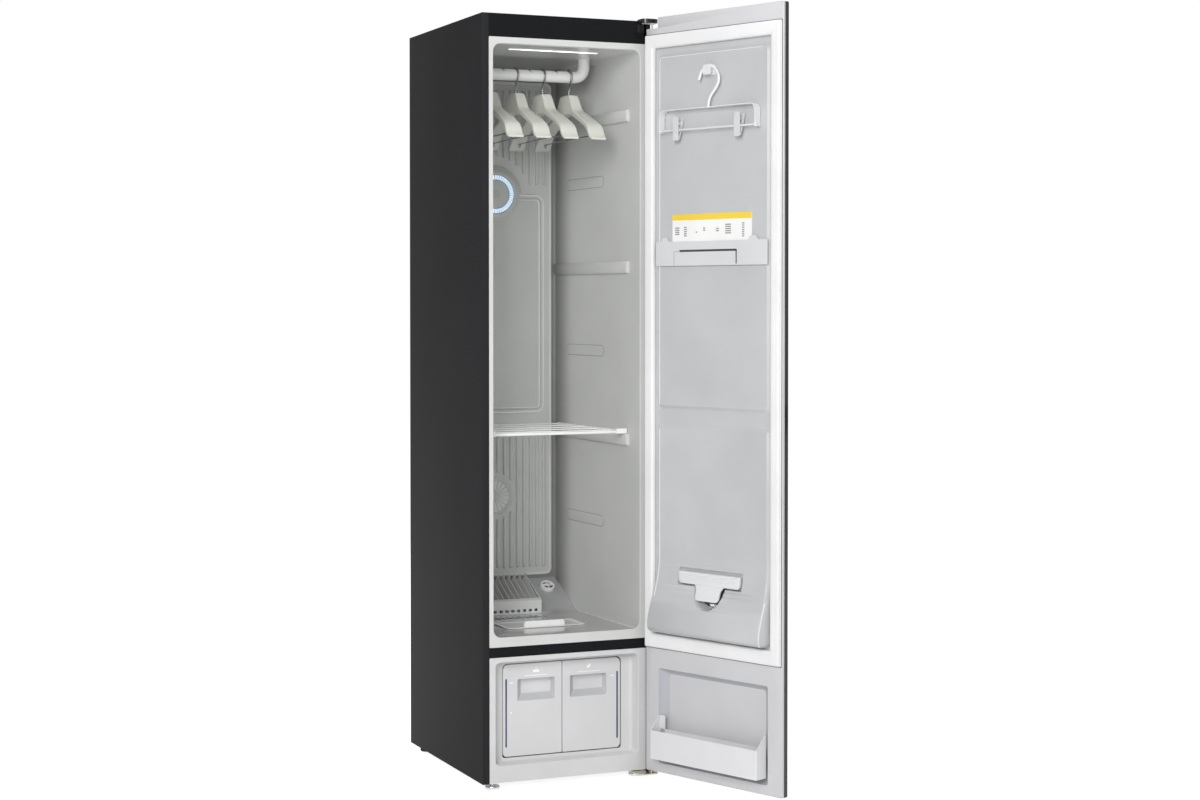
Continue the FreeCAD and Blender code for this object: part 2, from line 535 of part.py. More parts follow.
grille = body_named("intake_grille")
pad(grille, "XZ", "0", "grille_deep", [],
    [("0", "0", "grille_radius"), ("0", "0", "grille_radius-grille_rim")])
pad(grille, "XZ", "0", "grille_deep", [], [("0", "0", "grille_hub")])
fin = pad(grille, "XZ", "0", "grille_deep",
          [rect("grille_hub-overcut", "grille_radius-grille_rim+overcut", "-grille_fin/2", "grille_fin/2")])
around(grille, [fin], "Y", "grille_fins")
in_case(grille, "0", duct_front, "grille_z")

lens = body_named("ceiling_light_lens")
pad(lens, "XY", "opening_top-seam-lens_thick", "lens_thick",
    [wide("lens_half", "lens_front", "lens_front+lens_deep")])
in_case(lens)

# ---- floor fittings -------------------------------------------------------------------------------
tray = body_named("filter_tray")
pad(tray, "XY", "floor_top+seam", "tray_wall",
    [wide("tray_half+tray_rim", "tray_front-tray_rim", "tray_back+tray_rim")])
pad(tray, "XY", "floor_top+seam-tray_deep", "tray_deep",
    [wide("tray_half-seam", "tray_front+seam", "tray_back-seam")])
cut(tray, "XY", "floor_top+seam-tray_deep", "tray_deep-tray_wall",
    [wide("tray_half-seam-tray_wall", "tray_front+seam+tray_wall", "tray_back-seam-tray_wall")])
tray_top = "(floor_top+seam+tray_wall)"
pad(tray, "XZ", "handle_front", "handle_thick",
    [[("-handle_half", tray_top), ("-handle_half", tray_top + "+handle_tall"),
      ("handle_half", tray_top + "+handle_tall"), ("handle_half", tray_top),
      ("handle_half-handle_leg", tray_top), ("handle_half-handle_leg", tray_top + "+handle_tall-handle_bar"),
      ("-(handle_half-handle_leg)", tray_top + "+handle_tall-handle_bar"),
      ("-(handle_half-handle_leg)", tray_top)]])
in_case(tray)

louvre = body_named("filter_louvre")
louvre_top = "(floor_top+louvre_lip)"
pad(louvre, "YZ", "-louvre_half", "2*louvre_half",
    [[("louvre_front", "floor_top+seam"), ("louvre_front", louvre_top),
      ("louvre_back", "louvre_back_z"),
      ("louvre_back+louvre_foot", slope_z("louvre_back+louvre_foot") + "+seam"),
      ("knee_y", "floor_top+seam")]])
first = "-(louvre_slots*louvre_pitch-(louvre_pitch-louvre_slot))/2"
slot = cut(louvre, "XY", "floor_top+louvre_low", "case_width",
           [rect(first, first + "+louvre_slot", "louvre_front+louvre_edge", "louvre_back-louvre_edge")])
repeat(louvre, [slot], "X", "louvre_pitch", "louvre_slots")
in_case(louvre)

cap = body_named("aroma_cap")
pad(cap, "XY", "0", "cap_thick", [], [("0", "0", "cap_radius")])
pad(cap, "XY", "cap_thick", "cap_grip", [wide("cap_radius-cap_grip_half", "-cap_grip_half", "cap_grip_half")])
cap.Placement = FreeCAD.Placement(FreeCAD.Vector(), FreeCAD.Rotation(FreeCAD.Vector(1, 0, 0), 1))
bind(cap, "Placement.Rotation.Angle", "slope_angle")
in_case(cap, "cap_x", "cap_y", slope_z("cap_y") + "+seam/cos(slope_angle)")

# ---- hanger bar and its drive ---------------------------------------------------------------------
def rod_x(name, x, y, z, radius, length):
    rod = doc.addObject("Part::Cylinder", name)
    rod.Placement = FreeCAD.Placement(FreeCAD.Vector(), FreeCAD.Rotation(FreeCAD.Vector(0, 1, 0), 90))
    bind(rod, "Radius", radius)
    bind(rod, "Height", length)
    bind(rod, "Placement.Base.x", x)
    bind(rod, "Placement.Base.y", y)
    bind(rod, "Placement.Base.z", z)
    return rod


bar_parts = [rod_x("bar_middle", "-(post_x-bar_bend)", "bar_y", "bar_z", "bar_radius",
                   "2*(post_x-bar_bend)")]
upright = FreeCAD.Rotation(FreeCAD.Vector(1, 0, 0), 90)
for name, x, swing in (("bar_bend_left", "-(post_x-bar_bend)", 180),
                       ("bar_bend_right", "post_x-bar_bend", -90)):
    bend = doc.addObject("Part::Torus", name)
    bend.Placement = FreeCAD.Placement(
        FreeCAD.Vector(), upright.multiply(FreeCAD.Rotation(FreeCAD.Vector(0, 0, 1), swing)))
    bend.Angle3 = 90
    bind(bend, "Radius1", "bar_bend")
    bind(bend, "Radius2", "bar_radius")
    bind(bend, "Placement.Base.x", x)
    bind(bend, "Placement.Base.y", "bar_y")
    bind(bend, "Placement.Base.z", "bar_z+bar_bend")
    bar_parts.append(bend)
for name, x in (("bar_post_left", "-post_x"), ("bar_post_right", "post_x")):
    post = doc.addObject("Part::Cylinder", name)
    bind(post, "Radius", "bar_radius")
    bind(post, "Height", "post_top-bar_z-bar_bend")
    bind(post, "Placement.Base.x", x)
    bind(post, "Placement.Base.y", "bar_y")
    bind(post, "Placement.Base.z", "bar_z+bar_bend")
    bar_parts.append(post)
bar = doc.addObject("Part::MultiFuse", "hanger_bar")
bar.Label = "hanger_bar"
bar.Shapes = bar_parts
bar.Refine = True
NODES.append(bar)
in_case(bar)

carriage = body_named("bar_carriage")
plate_top = "(carriage_bottom+carriage_plate)"
pad(carriage, "XY", "carriage_bottom", "carriage_plate",
    [wide("carriage_half", "bar_y-carriage_half_y", "bar_y+carriage_half_y")])
cut(carriage, "XY", "carriage_bottom-overcut", "carriage_plate+2*overcut", [],
    [("post_x", "bar_y", "bar_radius+running"), ("-post_x", "bar_y", "bar_radius+running")])
runners = []
for y in ("bar_y-rod_gap_y", "bar_y+rod_gap_y"):
    block = rect("runner_x", "runner_x+runner_long", y + "-runner_half", y + "+runner_half")
    runners.append(block)
    runners.append(mirrored(block))
pad(carriage, "XY", plate_top, "rod_z+runner_half-%s" % plate_top, runners)
pad(carriage, "XY", "carriage_bottom", "link_top-carriage_bottom",
    [wide("link_half", "bar_y+carriage_half_y-link_half", "drive_front+link_deep")])
cut(carriage, "YZ", "-carriage_half", "2*carriage_half", [],
    [("bar_y-rod_gap_y", "rod_z", "rod_radius+running"), ("bar_y+rod_gap_y", "rod_z", "rod_radius+running")])
in_case(carriage)

rods = body_named("bar_guide_rods")
pad(rods, "YZ", "-rod_end", "2*rod_end", [],
    [("bar_y-rod_gap_y", "rod_z", "rod_radius"), ("bar_y+rod_gap_y", "rod_z", "rod_radius")])
block = rect("rod_end-rod_block", "rod_end", "bar_y-carriage_half_y", "bar_y+carriage_half_y")
pad(rods, "XY", "opening_top+liner_wall", "rod_z+runner_half-opening_top-liner_wall",
    [block, mirrored(block)])
in_case(rods)

drive = body_named("bar_drive_motor")
pad(drive, "XY", "opening_top+liner_wall", "drive_tall", [wide("drive_half", "drive_front", "drive_back")])
cut(drive, "XY", "opening_top+liner_wall", "link_top+link_gap-opening_top-liner_wall",
    [wide("link_half+bar_travel+link_gap", "drive_front", "drive_front+link_deep+link_gap")])
pad(drive, "YZ", "drive_half", "drive_motor_long", [],
    [("(drive_front+drive_back)/2", "opening_top+liner_wall+drive_motor_radius", "drive_motor_radius")])
in_case(drive)

# ---- clothes hangers ------------------------------------------------------------------------------
hook = [("-hook_outer", "-hook_tip"), ("-hook_outer", "hook_top-hook_chamfer"),
        ("-(hook_outer-hook_chamfer)", "hook_top"), ("hook_outer-hook_chamfer", "hook_top"),
        ("hook_outer", "hook_top-hook_chamfer"), ("hook_outer", "-hook_inner-hook_tip"),
        ("neck_half", "-shoulder_drop"), ("-neck_half", "-shoulder_drop"),
        ("-neck_half", "-neck_drop"), ("hook_outer/2", "-neck_drop+hook_tip"),
        ("hook_inner", "-hook_inner"), ("hook_inner", "hook_inside_top-hook_chamfer"),
        ("hook_inner-hook_chamfer", "hook_inside_top"), ("-(hook_inner-hook_chamfer)", "hook_inside_top"),
        ("-hook_inner", "hook_inside_top-hook_chamfer"), ("-hook_inner", "-hook_tip")]
arm = [("neck_half", "-neck_drop"), ("mid_reach", "-mid_drop"), ("hanger_reach", "-hanger_end_drop"),
       ("hanger_reach", "-hanger_drop"), ("hanger_reach-hanger_end_wide", "-hanger_drop"),
       ("inside_reach*2", "-hanger_end_drop+hook_tip"), ("inside_reach", "-inside_mid_drop"),
       ("0", "-inside_drop")]
shoulders = arm + [("-(%s)" % u, v) for u, v in reversed(arm[:-1])]
for index in range(1, 5):
    place = "(hanger_first+%d*hanger_pitch)" % (index - 1)
    hanger = body_named("hanger_%d" % index)
    pad(hanger, "YZ", "-hanger_half_thick", "2*hanger_half_thick", [shoulders])
    pad(hanger, "YZ", "-hook_half_thick", "2*hook_half_thick", [hook])
    cut(hanger, "XZ", "-wire_reach", "2*wire_reach", [], [("0", "-wire_drop", "wire_radius")])
    in_case(hanger, place, "bar_y", "bar_z")
    wire = body_named("hanger_%d_wire" % index)
    pad(wire, "XZ", "-wire_reach", "2*wire_reach", [], [("0", "-wire_drop", "wire_radius")])
    in_case(wire, place, "bar_y", "bar_z")

# ---- shelf ----------------------------------------------------------------------------------------
shelf = body_named("wire_shelf")
rail_bottom_z = "(ledge_c_top+seam)"
for step in range(int(number("shelf_rods"))):
    y = "(shelf_front+%d*shelf_pitch)" % step
    reach = "(%s-shelf_gap-shelf_rail_wide/2)" % wall_x(y)
    pad(shelf, "YZ", "-" + reach, "2*" + reach, [],
        [(y, rail_bottom_z + "+shelf_rail_tall/2", "shelf_rod")])
side = [(wall_x("shelf_front") + "-shelf_gap-shelf_rail_wide", "shelf_front-shelf_rod-shelf_lap"),
        (wall_x("shelf_front") + "-shelf_gap", "shelf_front-shelf_rod-shelf_lap"),
        (wall_x("shelf_back") + "-shelf_gap", "shelf_back+shelf_rod+shelf_lap"),
        (wall_x("shelf_back") + "-shelf_gap-shelf_rail_wide", "shelf_back+shelf_rod+shelf_lap")]
pad(shelf, "XY", rail_bottom_z, "shelf_rail_tall", [side, mirrored(side)])
in_case(shelf)

# ---- lower front, tanks ---------------------------------------------------------------------------
frame = body_named("lower_front_frame")
pad(frame, "XZ", "0", "frame_plate",
    [wide("case_width/2-front_strip-seam", "frame_bottom", "frame_top"),
     wide("recess_half", "recess_bottom", "recess_top")])
pad(frame, "XZ", "frame_plate", "recess_deep-frame_plate",
    [wide("recess_half+recess_wall", "recess_bottom-recess_wall", "recess_top+recess_wall"),
     wide("recess_half", "recess_bottom", "recess_top")])
pad(frame, "XZ", "recess_deep", "recess_wall",
    [wide("recess_half+recess_wall", "recess_bottom-recess_wall", "recess_top+recess_wall"),
     wide("tank_half_span+tank_gap", "tank_bottom-tank_gap", "tank_top+tank_gap")])
soften(frame, "recess_corner", "y",
       lambda p: near(abs(p.x), number("recess_half")) and p.y < number("recess_deep"))
in_case(frame)

bay = body_named("tank_bay")
bay_front = "(recess_deep+recess_wall)"
pad(bay, "XZ", bay_front, "bay_back+bay_wall-" + bay_front,
    [wide("tank_half_span+tank_gap+bay_wall", "tank_bottom-tank_gap-bay_wall", "tank_top+tank_gap+bay_wall")])
cut(bay, "XZ", bay_front, "tank_start-" + bay_front,
    [wide("tank_half_span+tank_gap", "tank_bottom-tank_gap", "tank_top+tank_gap")])
cell = rect("bay_wall/2", "tank_half_span+tank_gap", "tank_bottom-tank_gap", "tank_top+tank_gap")
cut(bay, "XZ", "tank_start", "bay_back-tank_start", [cell, mirrored(cell)])
in_case(bay)

for name, side in (("drain_tank", "-"), ("supply_tank", "")):
    front = body_named(name + "_front")
    near_x = side + "(tank_gap)"
    far_x = side + "(tank_half_span)"
    pad(front, "XZ", "recess_deep", "tank_plate", [rect(near_x, far_x, "tank_bottom", "tank_top")])
    pad(front, "XZ", "recess_deep+tank_plate", "tank_start-recess_deep-tank_plate",
        [rect(side + "(tank_side_gap)", side + "(tank_half_span-tank_side_gap)",
              "tank_bottom+tank_side_gap", "tank_top-tank_side_gap"),
         rect(side + "(tank_side_gap+tank_wall)", side + "(tank_half_span-tank_side_gap-tank_wall)",
              "tank_bottom+tank_side_gap+tank_wall", "tank_top-tank_side_gap-tank_wall")])
    pad(front, "XZ", "recess_deep+tank_plate", "grip_deep+grip_wall-tank_plate",
        [rect(side + "(grip_near-grip_wall)", side + "(grip_far+grip_wall)",
              "grip_bottom-grip_wall", "grip_top+grip_wall")])
    cut(front, "XZ", "recess_deep", "grip_deep",
        [rect(side + "(grip_near)", side + "(grip_far)", "grip_bottom", "grip_top")])
    in_case(front)
    tank = body_named(name)
    tank_near = side + "(tank_side_gap)"
    tank_far = side + "(tank_half_span-tank_side_gap)"
    pad(tank, "XZ", "tank_start", "tank_end-tank_start",
        [rect(tank_near, tank_far, "tank_bottom", "tank_top-tank_side_gap")])
    cut(tank, "XY", "tank_bottom+tank_wall", "tank_top-tank_bottom",
        [rect(side + "(tank_side_gap+tank_wall)", side + "(tank_half_span-tank_side_gap-tank_wall)",
              "tank_start+tank_wall", "tank_end-tank_wall")])
    in_case(tank)

# ---- machine compartment --------------------------------------------------------------------------
machine_floor = "base_bottom+base_sheet"
pump = body_named("compressor")
turn(pump, "XZ", "V_Axis",
     [("0", "0"), ("pump_foot", "0"), ("pump_foot", "pump_foot_tall"), ("pump_radius", "pump_foot_tall"),
      ("pump_radius", "pump_top-pump_dome-" + machine_floor),
      ("pump_radius/2", "pump_top-" + machine_floor), ("0", "pump_top-" + machine_floor)])
in_case(pump, "pump_x", "pump_y", machine_floor)

boiler = body_named("steam_generator")
pad(boiler, "XY", machine_floor, "boiler_top-(%s)" % machine_floor,
    [rect("boiler_near", "boiler_far", "boiler_front", "boiler_back")])
pad(boiler, "XY", "boiler_top", "boiler_boss_tall", [],
    [("(boiler_near+boiler_far)/2", "boiler_back-2*boiler_boss", "boiler_boss"),
     ("(boiler_near+boiler_far)/2", "boiler_front+2*boiler_boss", "boiler_boss")])
in_case(boiler)

coil = body_named("heat_exchanger")
pad(coil, "XY", machine_floor, "coil_top-(%s)" % machine_floor,
    [wide("coil_half", "coil_front", "coil_back")])
groove = rect("coil_front", "coil_front+coil_groove", machine_floor + "+coil_pitch",
              machine_floor + "+coil_pitch+coil_groove")
groove_back = rect("coil_back-coil_groove", "coil_back", machine_floor + "+coil_pitch",
                   machine_floor + "+coil_pitch+coil_groove")
grooves = cut(coil, "YZ", "-coil_half+coil_plate", "2*coil_half-2*coil_plate", [groove, groove_back])
repeat(coil, [grooves], "Z", "coil_pitch", "coil_count")
in_case(coil)

fan = body_named("blower_housing")
pad(fan, "XZ", "fan_front", "fan_back-fan_front", [], [("fan_x", "fan_z", "fan_radius")])
pad(fan, "XZ", "fan_front", "fan_back-fan_front",
    [rect("fan_x+fan_duct_near", "fan_x+fan_radius", "fan_z", "fan_duct_top")])
pad(fan, "XZ", "fan_front", "fan_back-fan_front",
    [wide("fan_radius/2", machine_floor, "fan_z")])
cut(fan, "XZ", "fan_front+fan_wall", "fan_back-fan_front-2*fan_wall", [],
    [("fan_x", "fan_z", "fan_radius-fan_wall")])
cut(fan, "XZ", "fan_front+fan_wall", "fan_back-fan_front-2*fan_wall",
    [rect("fan_x+fan_duct_near+fan_wall", "fan_x+fan_radius-fan_wall", "fan_z", "fan_duct_top")])
cut(fan, "XZ", "fan_front", "fan_wall", [], [("fan_x", "fan_z", "fan_inlet")])
cut(fan, "XZ", "fan_back-fan_wall", "fan_wall", [], [("fan_x", "fan_z", "shaft_radius+running")])
in_case(fan)

wheel = body_named("blower_wheel")
wheel_long = "(fan_back-fan_front-2*fan_wall-2*wheel_gap)"
pad(wheel, "XZ", wheel_long + "-wheel_plate", "wheel_plate", [], [("0", "0", "wheel_radius")])
pad(wheel, "XZ", "0", "wheel_plate", [],
    [("0", "0", "wheel_radius"), ("0", "0", "wheel_radius-wheel_blade_long")])
pad(wheel, "XZ", wheel_long + "/2", wheel_long + "/2", [], [("0", "0", "wheel_hub")])
blade = pad(wheel, "XZ", "0", wheel_long,
            [rect("wheel_radius-wheel_blade_long+wheel_blade", "wheel_radius-wheel_blade",
                  "-wheel_blade/2", "wheel_blade/2")])
around(wheel, [blade], "Y", "wheel_blades")
pad(wheel, "XZ", wheel_long, "wheel_gap+2*fan_wall", [], [("0", "0", "shaft_radius")])
in_case(wheel, "fan_x", "fan_front+fan_wall+wheel_gap", "fan_z")

hose_x = "(boiler_near+boiler_far)/2"
hose_y = "(boiler_back-2*boiler_boss)"
boss_top = "(boiler_top+boiler_boss_tall)"
hose_parts = []
turn_y = FreeCAD.Rotation(FreeCAD.Vector(1, 0, 0), -90)
turn_x = FreeCAD.Rotation(FreeCAD.Vector(0, 1, 0), 90)
straight = FreeCAD.Rotation()
for name, x, y, z, length, facing in (
        ("hose_riser", hose_x, hose_y, boss_top, "hose_knee_z-%s" % boss_top, straight),
        ("hose_run", hose_x, hose_y, "hose_knee_z", "hose_back_y-%s" % hose_y, turn_y),
        ("hose_back", hose_x, "hose_back_y", "hose_knee_z", "outlet_z-hose_knee_z", straight),
        ("hose_across", "0", "hose_back_y", "outlet_z", hose_x, turn_x),
        ("hose_nozzle", "0", "back_y+liner_wall/2", "outlet_z", "hose_back_y-back_y-liner_wall/2", turn_y)):
    run = doc.addObject("Part::Cylinder", name)
    run.Placement = FreeCAD.Placement(FreeCAD.Vector(), facing)
    bind(run, "Radius", "hose_radius")
    bind(run, "Height", length)
    bind(run, "Placement.Base.x", x)
    bind(run, "Placement.Base.y", y)
    bind(run, "Placement.Base.z", z)
    hose_parts.append(run)
for name, x, y, z in (("hose_elbow_a", hose_x, hose_y, "hose_knee_z"),
                      ("hose_elbow_b", hose_x, "hose_back_y", "hose_knee_z"),
                      ("hose_elbow_c", hose_x, "hose_back_y", "outlet_z"),
                      ("hose_elbow_d", "0", "hose_back_y", "outlet_z")):
    elbow = doc.addObject("Part::Sphere", name)
    bind(elbow, "Radius", "hose_radius")
    bind(elbow, "Placement.Base.x", x)
    bind(elbow, "Placement.Base.y", y)
    bind(elbow, "Placement.Base.z", z)
    hose_parts.append(elbow)
hose = doc.addObject("Part::MultiFuse", "steam_hose")
hose.Label = "steam_hose"
hose.Shapes = hose_parts
NODES.append(hose)
in_case(hose)

inlet = body_named("power_inlet")
pad(inlet, "XZ", "case_depth-inlet_deep", "inlet_deep",
    [rect("inlet_x-inlet_half_x", "inlet_x+inlet_half_x", "inlet_z-inlet_half_z", "inlet_z+inlet_half_z")])
cut(inlet, "XZ", "case_depth-inlet_deep+inlet_wall", "inlet_deep-inlet_wall",
    [rect("inlet_x-inlet_half_x+inlet_wall", "inlet_x+inlet_half_x-inlet_wall",
          "inlet_z-inlet_half_z+inlet_wall", "inlet_z+inlet_half_z-inlet_wall")])
for step in ("-inlet_pin_gap", "0", "inlet_pin_gap"):
    pad(inlet, "XZ", "case_depth-inlet_deep+inlet_wall", "inlet_pin_deep",
        [rect("inlet_x+%s-inlet_pin" % step, "inlet_x+%s+inlet_pin" % step,
              "inlet_z-2*inlet_pin", "inlet_z+2*inlet_pin")])
in_case(inlet)

# ---- hinges ---------------------------------------------------------------------------------------
upper = body_named("hinge_top_bracket")
plate_z = "(door_top-notch_deep+bracket_rise)"
pad(upper, "XY", plate_z, "bracket_plate",
    [rect("door_half-2*bracket_half", "door_half", "-door_face", "-bracket_flange")])
pad(upper, "XZ", "-bracket_flange", "bracket_flange",
    [rect("door_half-2*bracket_half", "door_half", plate_z + "+bracket_plate-bracket_tall",
          plate_z + "+bracket_plate")])
pad(upper, "XY", plate_z + "-bracket_rise+bracket_gap", "bracket_rise-bracket_gap", [],
    [("hinge_x", "hinge_y", "bush_radius")])
pad(upper, "XY", plate_z + "-bracket_rise-pin_bite", "bracket_rise+pin_bite", [],
    [("hinge_x", "hinge_y", "pin_radius")])
in_case(upper)

lower = body_named("hinge_bottom_bracket")
pad(lower, "XY", "case_bottom-bracket_plate", "bracket_plate",
    [rect("bracket_near", "door_half", "-door_face", "bracket_back")])
pad(lower, "XY", "case_bottom", "base_bottom-case_bottom",
    [rect("bracket_near", "hinge_x", "bracket_back-bracket_pad", "bracket_back")])
cut(lower, "XY", "case_bottom-bracket_plate", "bracket_plate", [],
    [("foot_x", "foot_inset_y", "foot_stud_radius+running")])
pad(lower, "XY", "case_bottom", "door_bottom-case_bottom-bracket_gap", [],
    [("hinge_x", "hinge_y", "bush_radius")])
pad(lower, "XY", "case_bottom", "door_bottom-case_bottom+pin_bite", [],
    [("hinge_x", "hinge_y", "pin_radius")])
in_case(lower)

# ---- door, drawn shut -----------------------------------------------------------------------------
notch = rect("door_half-notch_wide", "door_half+overcut", "-door_face-overcut", "0")
shell = body_named("door_outer_panel")
pad(shell, "XZ", "-door_face", "door_face-door_split", [wide("door_half", "door_bottom", "door_top")])
cut(shell, "XZ", "-door_face+glass_plate", "door_face-door_split-glass_plate",
    [wide("door_half-door_side", "door_bottom+door_sill", "door_top-door_cap")])
cut(shell, "XY", "door_top-notch_deep", "notch_deep", [notch])
cut(shell, "XY", "door_bottom", "door_top-door_bottom-notch_deep", [],
    [("hinge_x", "hinge_y", "pin_radius+running")])
in_door = [shell]

inner_frame = body_named("door_inner_frame")
pad(inner_frame, "XZ", "-door_split", "door_split-door_back",
    [wide("door_half", "door_bottom", "door_top"),
     wide("panel_half+seam", "panel_bottom-seam", "panel_top+seam")])
pan_back = "(door_back+pan_deep+pan_skin)"
pad(inner_frame, "XZ", "-" + pan_back, pan_back + "-door_split",
    [wide("pan_half", "pan_bottom", "pan_top")])
pan = inner_frame.newObject("PartDesign::SubtractiveLoft", "Pan")
pan.Profile = sketch(inner_frame, "XZ", "-door_back",
                     [wide("pan_half-pan_skin", "pan_bottom+pan_skin", "pan_top-pan_skin")], [])
pan.Sections = [sketch(inner_frame, "XZ", "-(door_back+pan_deep)",
                       [wide("pan_half-pan_skin-pan_run", "pan_bottom+pan_skin+pan_run/2",
                             "pan_top-pan_skin-pan_run/2")], [])]
inner_frame.Tip = pan
boss = rect("boss_x-boss_half", "boss_x+boss_half", "boss_bottom", "boss_top")
pad(inner_frame, "XZ", "-(door_back+pan_deep)", "pan_deep", [boss, mirrored(boss)])
cut(inner_frame, "XY", "door_top-notch_deep", "notch_deep", [notch])
in_door.append(inner_frame)

panel = body_named("door_liner")
pad(panel, "XZ", "-panel_rim", "panel_wall", [wide("panel_half", "panel_bottom", "panel_top")])
for low, high in (("split_top", "raised_top"), ("raised_low", "split_bottom")):
    raised = panel.newObject("PartDesign::AdditiveLoft", "Raised")
    raised.Profile = sketch(panel, "XZ", "-(panel_rim-panel_wall)",
                            [wide("raised_half+bevel_run", low + "-bevel_run", high + "+bevel_run")], [])
    raised.Sections = [sketch(panel, "XZ", "-panel_rise", [wide("raised_half", low, high)], [])]
    panel.Tip = raised
pad(panel, "YZ", "-wedge_half", "2*wedge_half",
    [[("-panel_rim", "wedge_bottom-panel_wall"), ("wedge_out", "wedge_bottom"), ("wedge_out", "wedge_full"),
      ("-panel_rise", "wedge_top"), ("-panel_rim", "wedge_top")]])
cut(panel, "XZ", "-clip_bay_back", "clip_bay_back+wedge_out+overcut",
    [wide("clip_bay_half", "clip_bay_bottom", "clip_bay_top")])
lug = rect("clip_lug_x", "clip_lug_x+panel_wall", "lever_pin_z-clip_lug_half",
           "lever_pin_z+clip_lug_half")
pad(panel, "XZ", "-clip_bay_back", "clip_bay_back+lever_pin_y+clip_lug_half", [lug, mirrored(lug)])
cut(panel, "YZ", "-(clip_lug_x+panel_wall)", "2*(clip_lug_x+panel_wall)", [],
    [("lever_pin_y", "lever_pin_z", "lever_pin_radius+running")])
in_door.append(panel)

gasket = body_named("door_gasket")
pad(gasket, "XZ", "-door_back", "door_back-gasket_front",
    [wide("gasket_outer", "gasket_bottom", "gasket_top"),
     wide("gasket_inner", "gasket_in_bottom", "gasket_in_top")])
soften(gasket, "gasket_corner", "y", lambda p: near(abs(p.x), number("gasket_outer")))
in_door.append(gasket)

basket = body_named("door_basket")
basket_back = "-(door_back-seam)"
pad(basket, "XZ", basket_back, "basket_front+door_back-seam",
    [wide("basket_half", "basket_bottom", "basket_top")])
for side in ("-", ""):
    pad(basket, "YZ", "%s(basket_half)-basket_wall*%s" % (side, "0" if side else "1"), "basket_wall",
        [[(basket_back, "basket_top"), ("basket_front-basket_wall", "basket_top"),
          (basket_back + "+2*basket_wall", "basket_ear"), (basket_back, "basket_ear")]])
cut(basket, "XY", "basket_bottom+basket_floor", "basket_top-basket_bottom-basket_floor",
    [wide("basket_half-basket_wall", basket_back + "+basket_wall", "basket_front-basket_wall")])
in_door.append(basket)

peg = body_named("door_hook")
pad(peg, "XZ", "-panel_rise", "peg_plate_thick", [wide("peg_plate", "peg_low", "peg_lip")])
pad(peg, "XZ", "-panel_rise+peg_plate_thick", "panel_rise+peg_out-peg_plate_thick", [],
    [("0", "peg_z", "peg_radius")])
pad(peg, "XZ", "peg_out", "peg_lip_thick", [wide("peg_plate", "peg_low", "peg_lip")])
in_door.append(peg)

rack = body_named("pocket_bracket")
rack_y = "-panel_rise+rack_stand"
ear = "rack_ear_in"
pad(rack, "XZ", rack_y, "rack_thick",
    [[("-rack_half", "rack_bottom"), ("rack_half", "rack_bottom"), ("rack_half", "rack_top"),
      ("rack_ear_out", "rack_ear"), (ear, "rack_ear"), (ear + "-rack_slot", "rack_top"),
      ("-%s+rack_slot" % ear, "rack_top"), ("-" + ear, "rack_ear"), ("-rack_ear_out", "rack_ear"),
      ("-rack_half", "rack_top")]])
cut(rack, "XZ", rack_y, "rack_thick",
    [wide("rack_tab_half", "rack_slot_z", "rack_slot_z+rack_slot")])
pad(rack, "XZ", "-panel_rise", "rack_stand",
    [rect("rack_ear_in", "rack_ear_out", "rack_bottom+rack_slot", "rack_top"),
     rect("-rack_ear_out", "-rack_ear_in", "rack_bottom+rack_slot", "rack_top")])
in_door.append(rack)

lever = body_named("clip_lever")
lever_back = "-(panel_rise-lever_stand)"
pad(lever, "XZ", lever_back, "lever_thick", [wide("lever_half", "clip_bay_top", "lever_top")])
pad(lever, "YZ", "-paddle_half", "2*paddle_half",
    [[(lever_back, "clip_bay_top"), (lever_back + "+paddle_lean", "paddle_bottom"),
      (lever_back + "+paddle_lean+paddle_thick", "paddle_bottom"),
      (lever_back + "+paddle_thick", "clip_bay_top")]])
pad(lever, "YZ", "-paddle_half", "2*paddle_half", [], [("lever_pin_y", "lever_pin_z", "lever_boss")])
pad(lever, "YZ", "-(clip_lug_x+panel_wall)", "2*(clip_lug_x+panel_wall)", [],
    [("lever_pin_y", "lever_pin_z", "lever_pin_radius")])
in_door.append(lever)

trouser = body_named("trouser_hanger")
pad(trouser, "XZ", "0", "loop_thick", [], [("0", "loop_z", "loop_outer"), ("0", "loop_z", "loop_inner")])
cut(trouser, "XZ", "-overcut", "loop_thick+2*overcut",
    [rect("loop_thick/2", "loop_outer+overcut", "loop_z-loop_outer-overcut", "loop_z-loop_cut_drop")])
pad(trouser, "XZ", "0", "loop_thick",
    [rect("-loop_thick/2", "loop_thick/2", "yoke_z", "loop_z-loop_inner-loop_thick/2")])
pad(trouser, "XZ", "0", "loop_thick",
    [wide("yoke_half", "yoke_drop-yoke_wire/2", "yoke_z+yoke_tall/2"),
     wide("yoke_half-yoke_leg", "yoke_drop+yoke_wire/2", "yoke_z-yoke_tall/2")])
in_door.append(trouser)

for name, x in (("trouser_clip_left", "-grip_x"), ("trouser_clip_right", "grip_x")):
    grip = body_named(name)
    pad(grip, "XZ", "-(grip_thick-loop_thick)/2", "grip_thick", [wide("grip_half", "grip_low", "grip_high")])
    cut(grip, "YZ", "-grip_half", "2*grip_half",
        [rect("-grip_bore_gap", "loop_thick+grip_bore_gap", "yoke_drop-yoke_wire/2-grip_bore_gap",
              "yoke_drop+yoke_wire/2+grip_bore_gap")])
    in_door.append((grip, x))

for piece in in_door:
    if isinstance(piece, tuple):
        on_door(piece[0], piece[1], "loop_y")
    elif piece is trouser:
        on_door(piece, "0", "loop_y")
    else:
        on_door(piece)

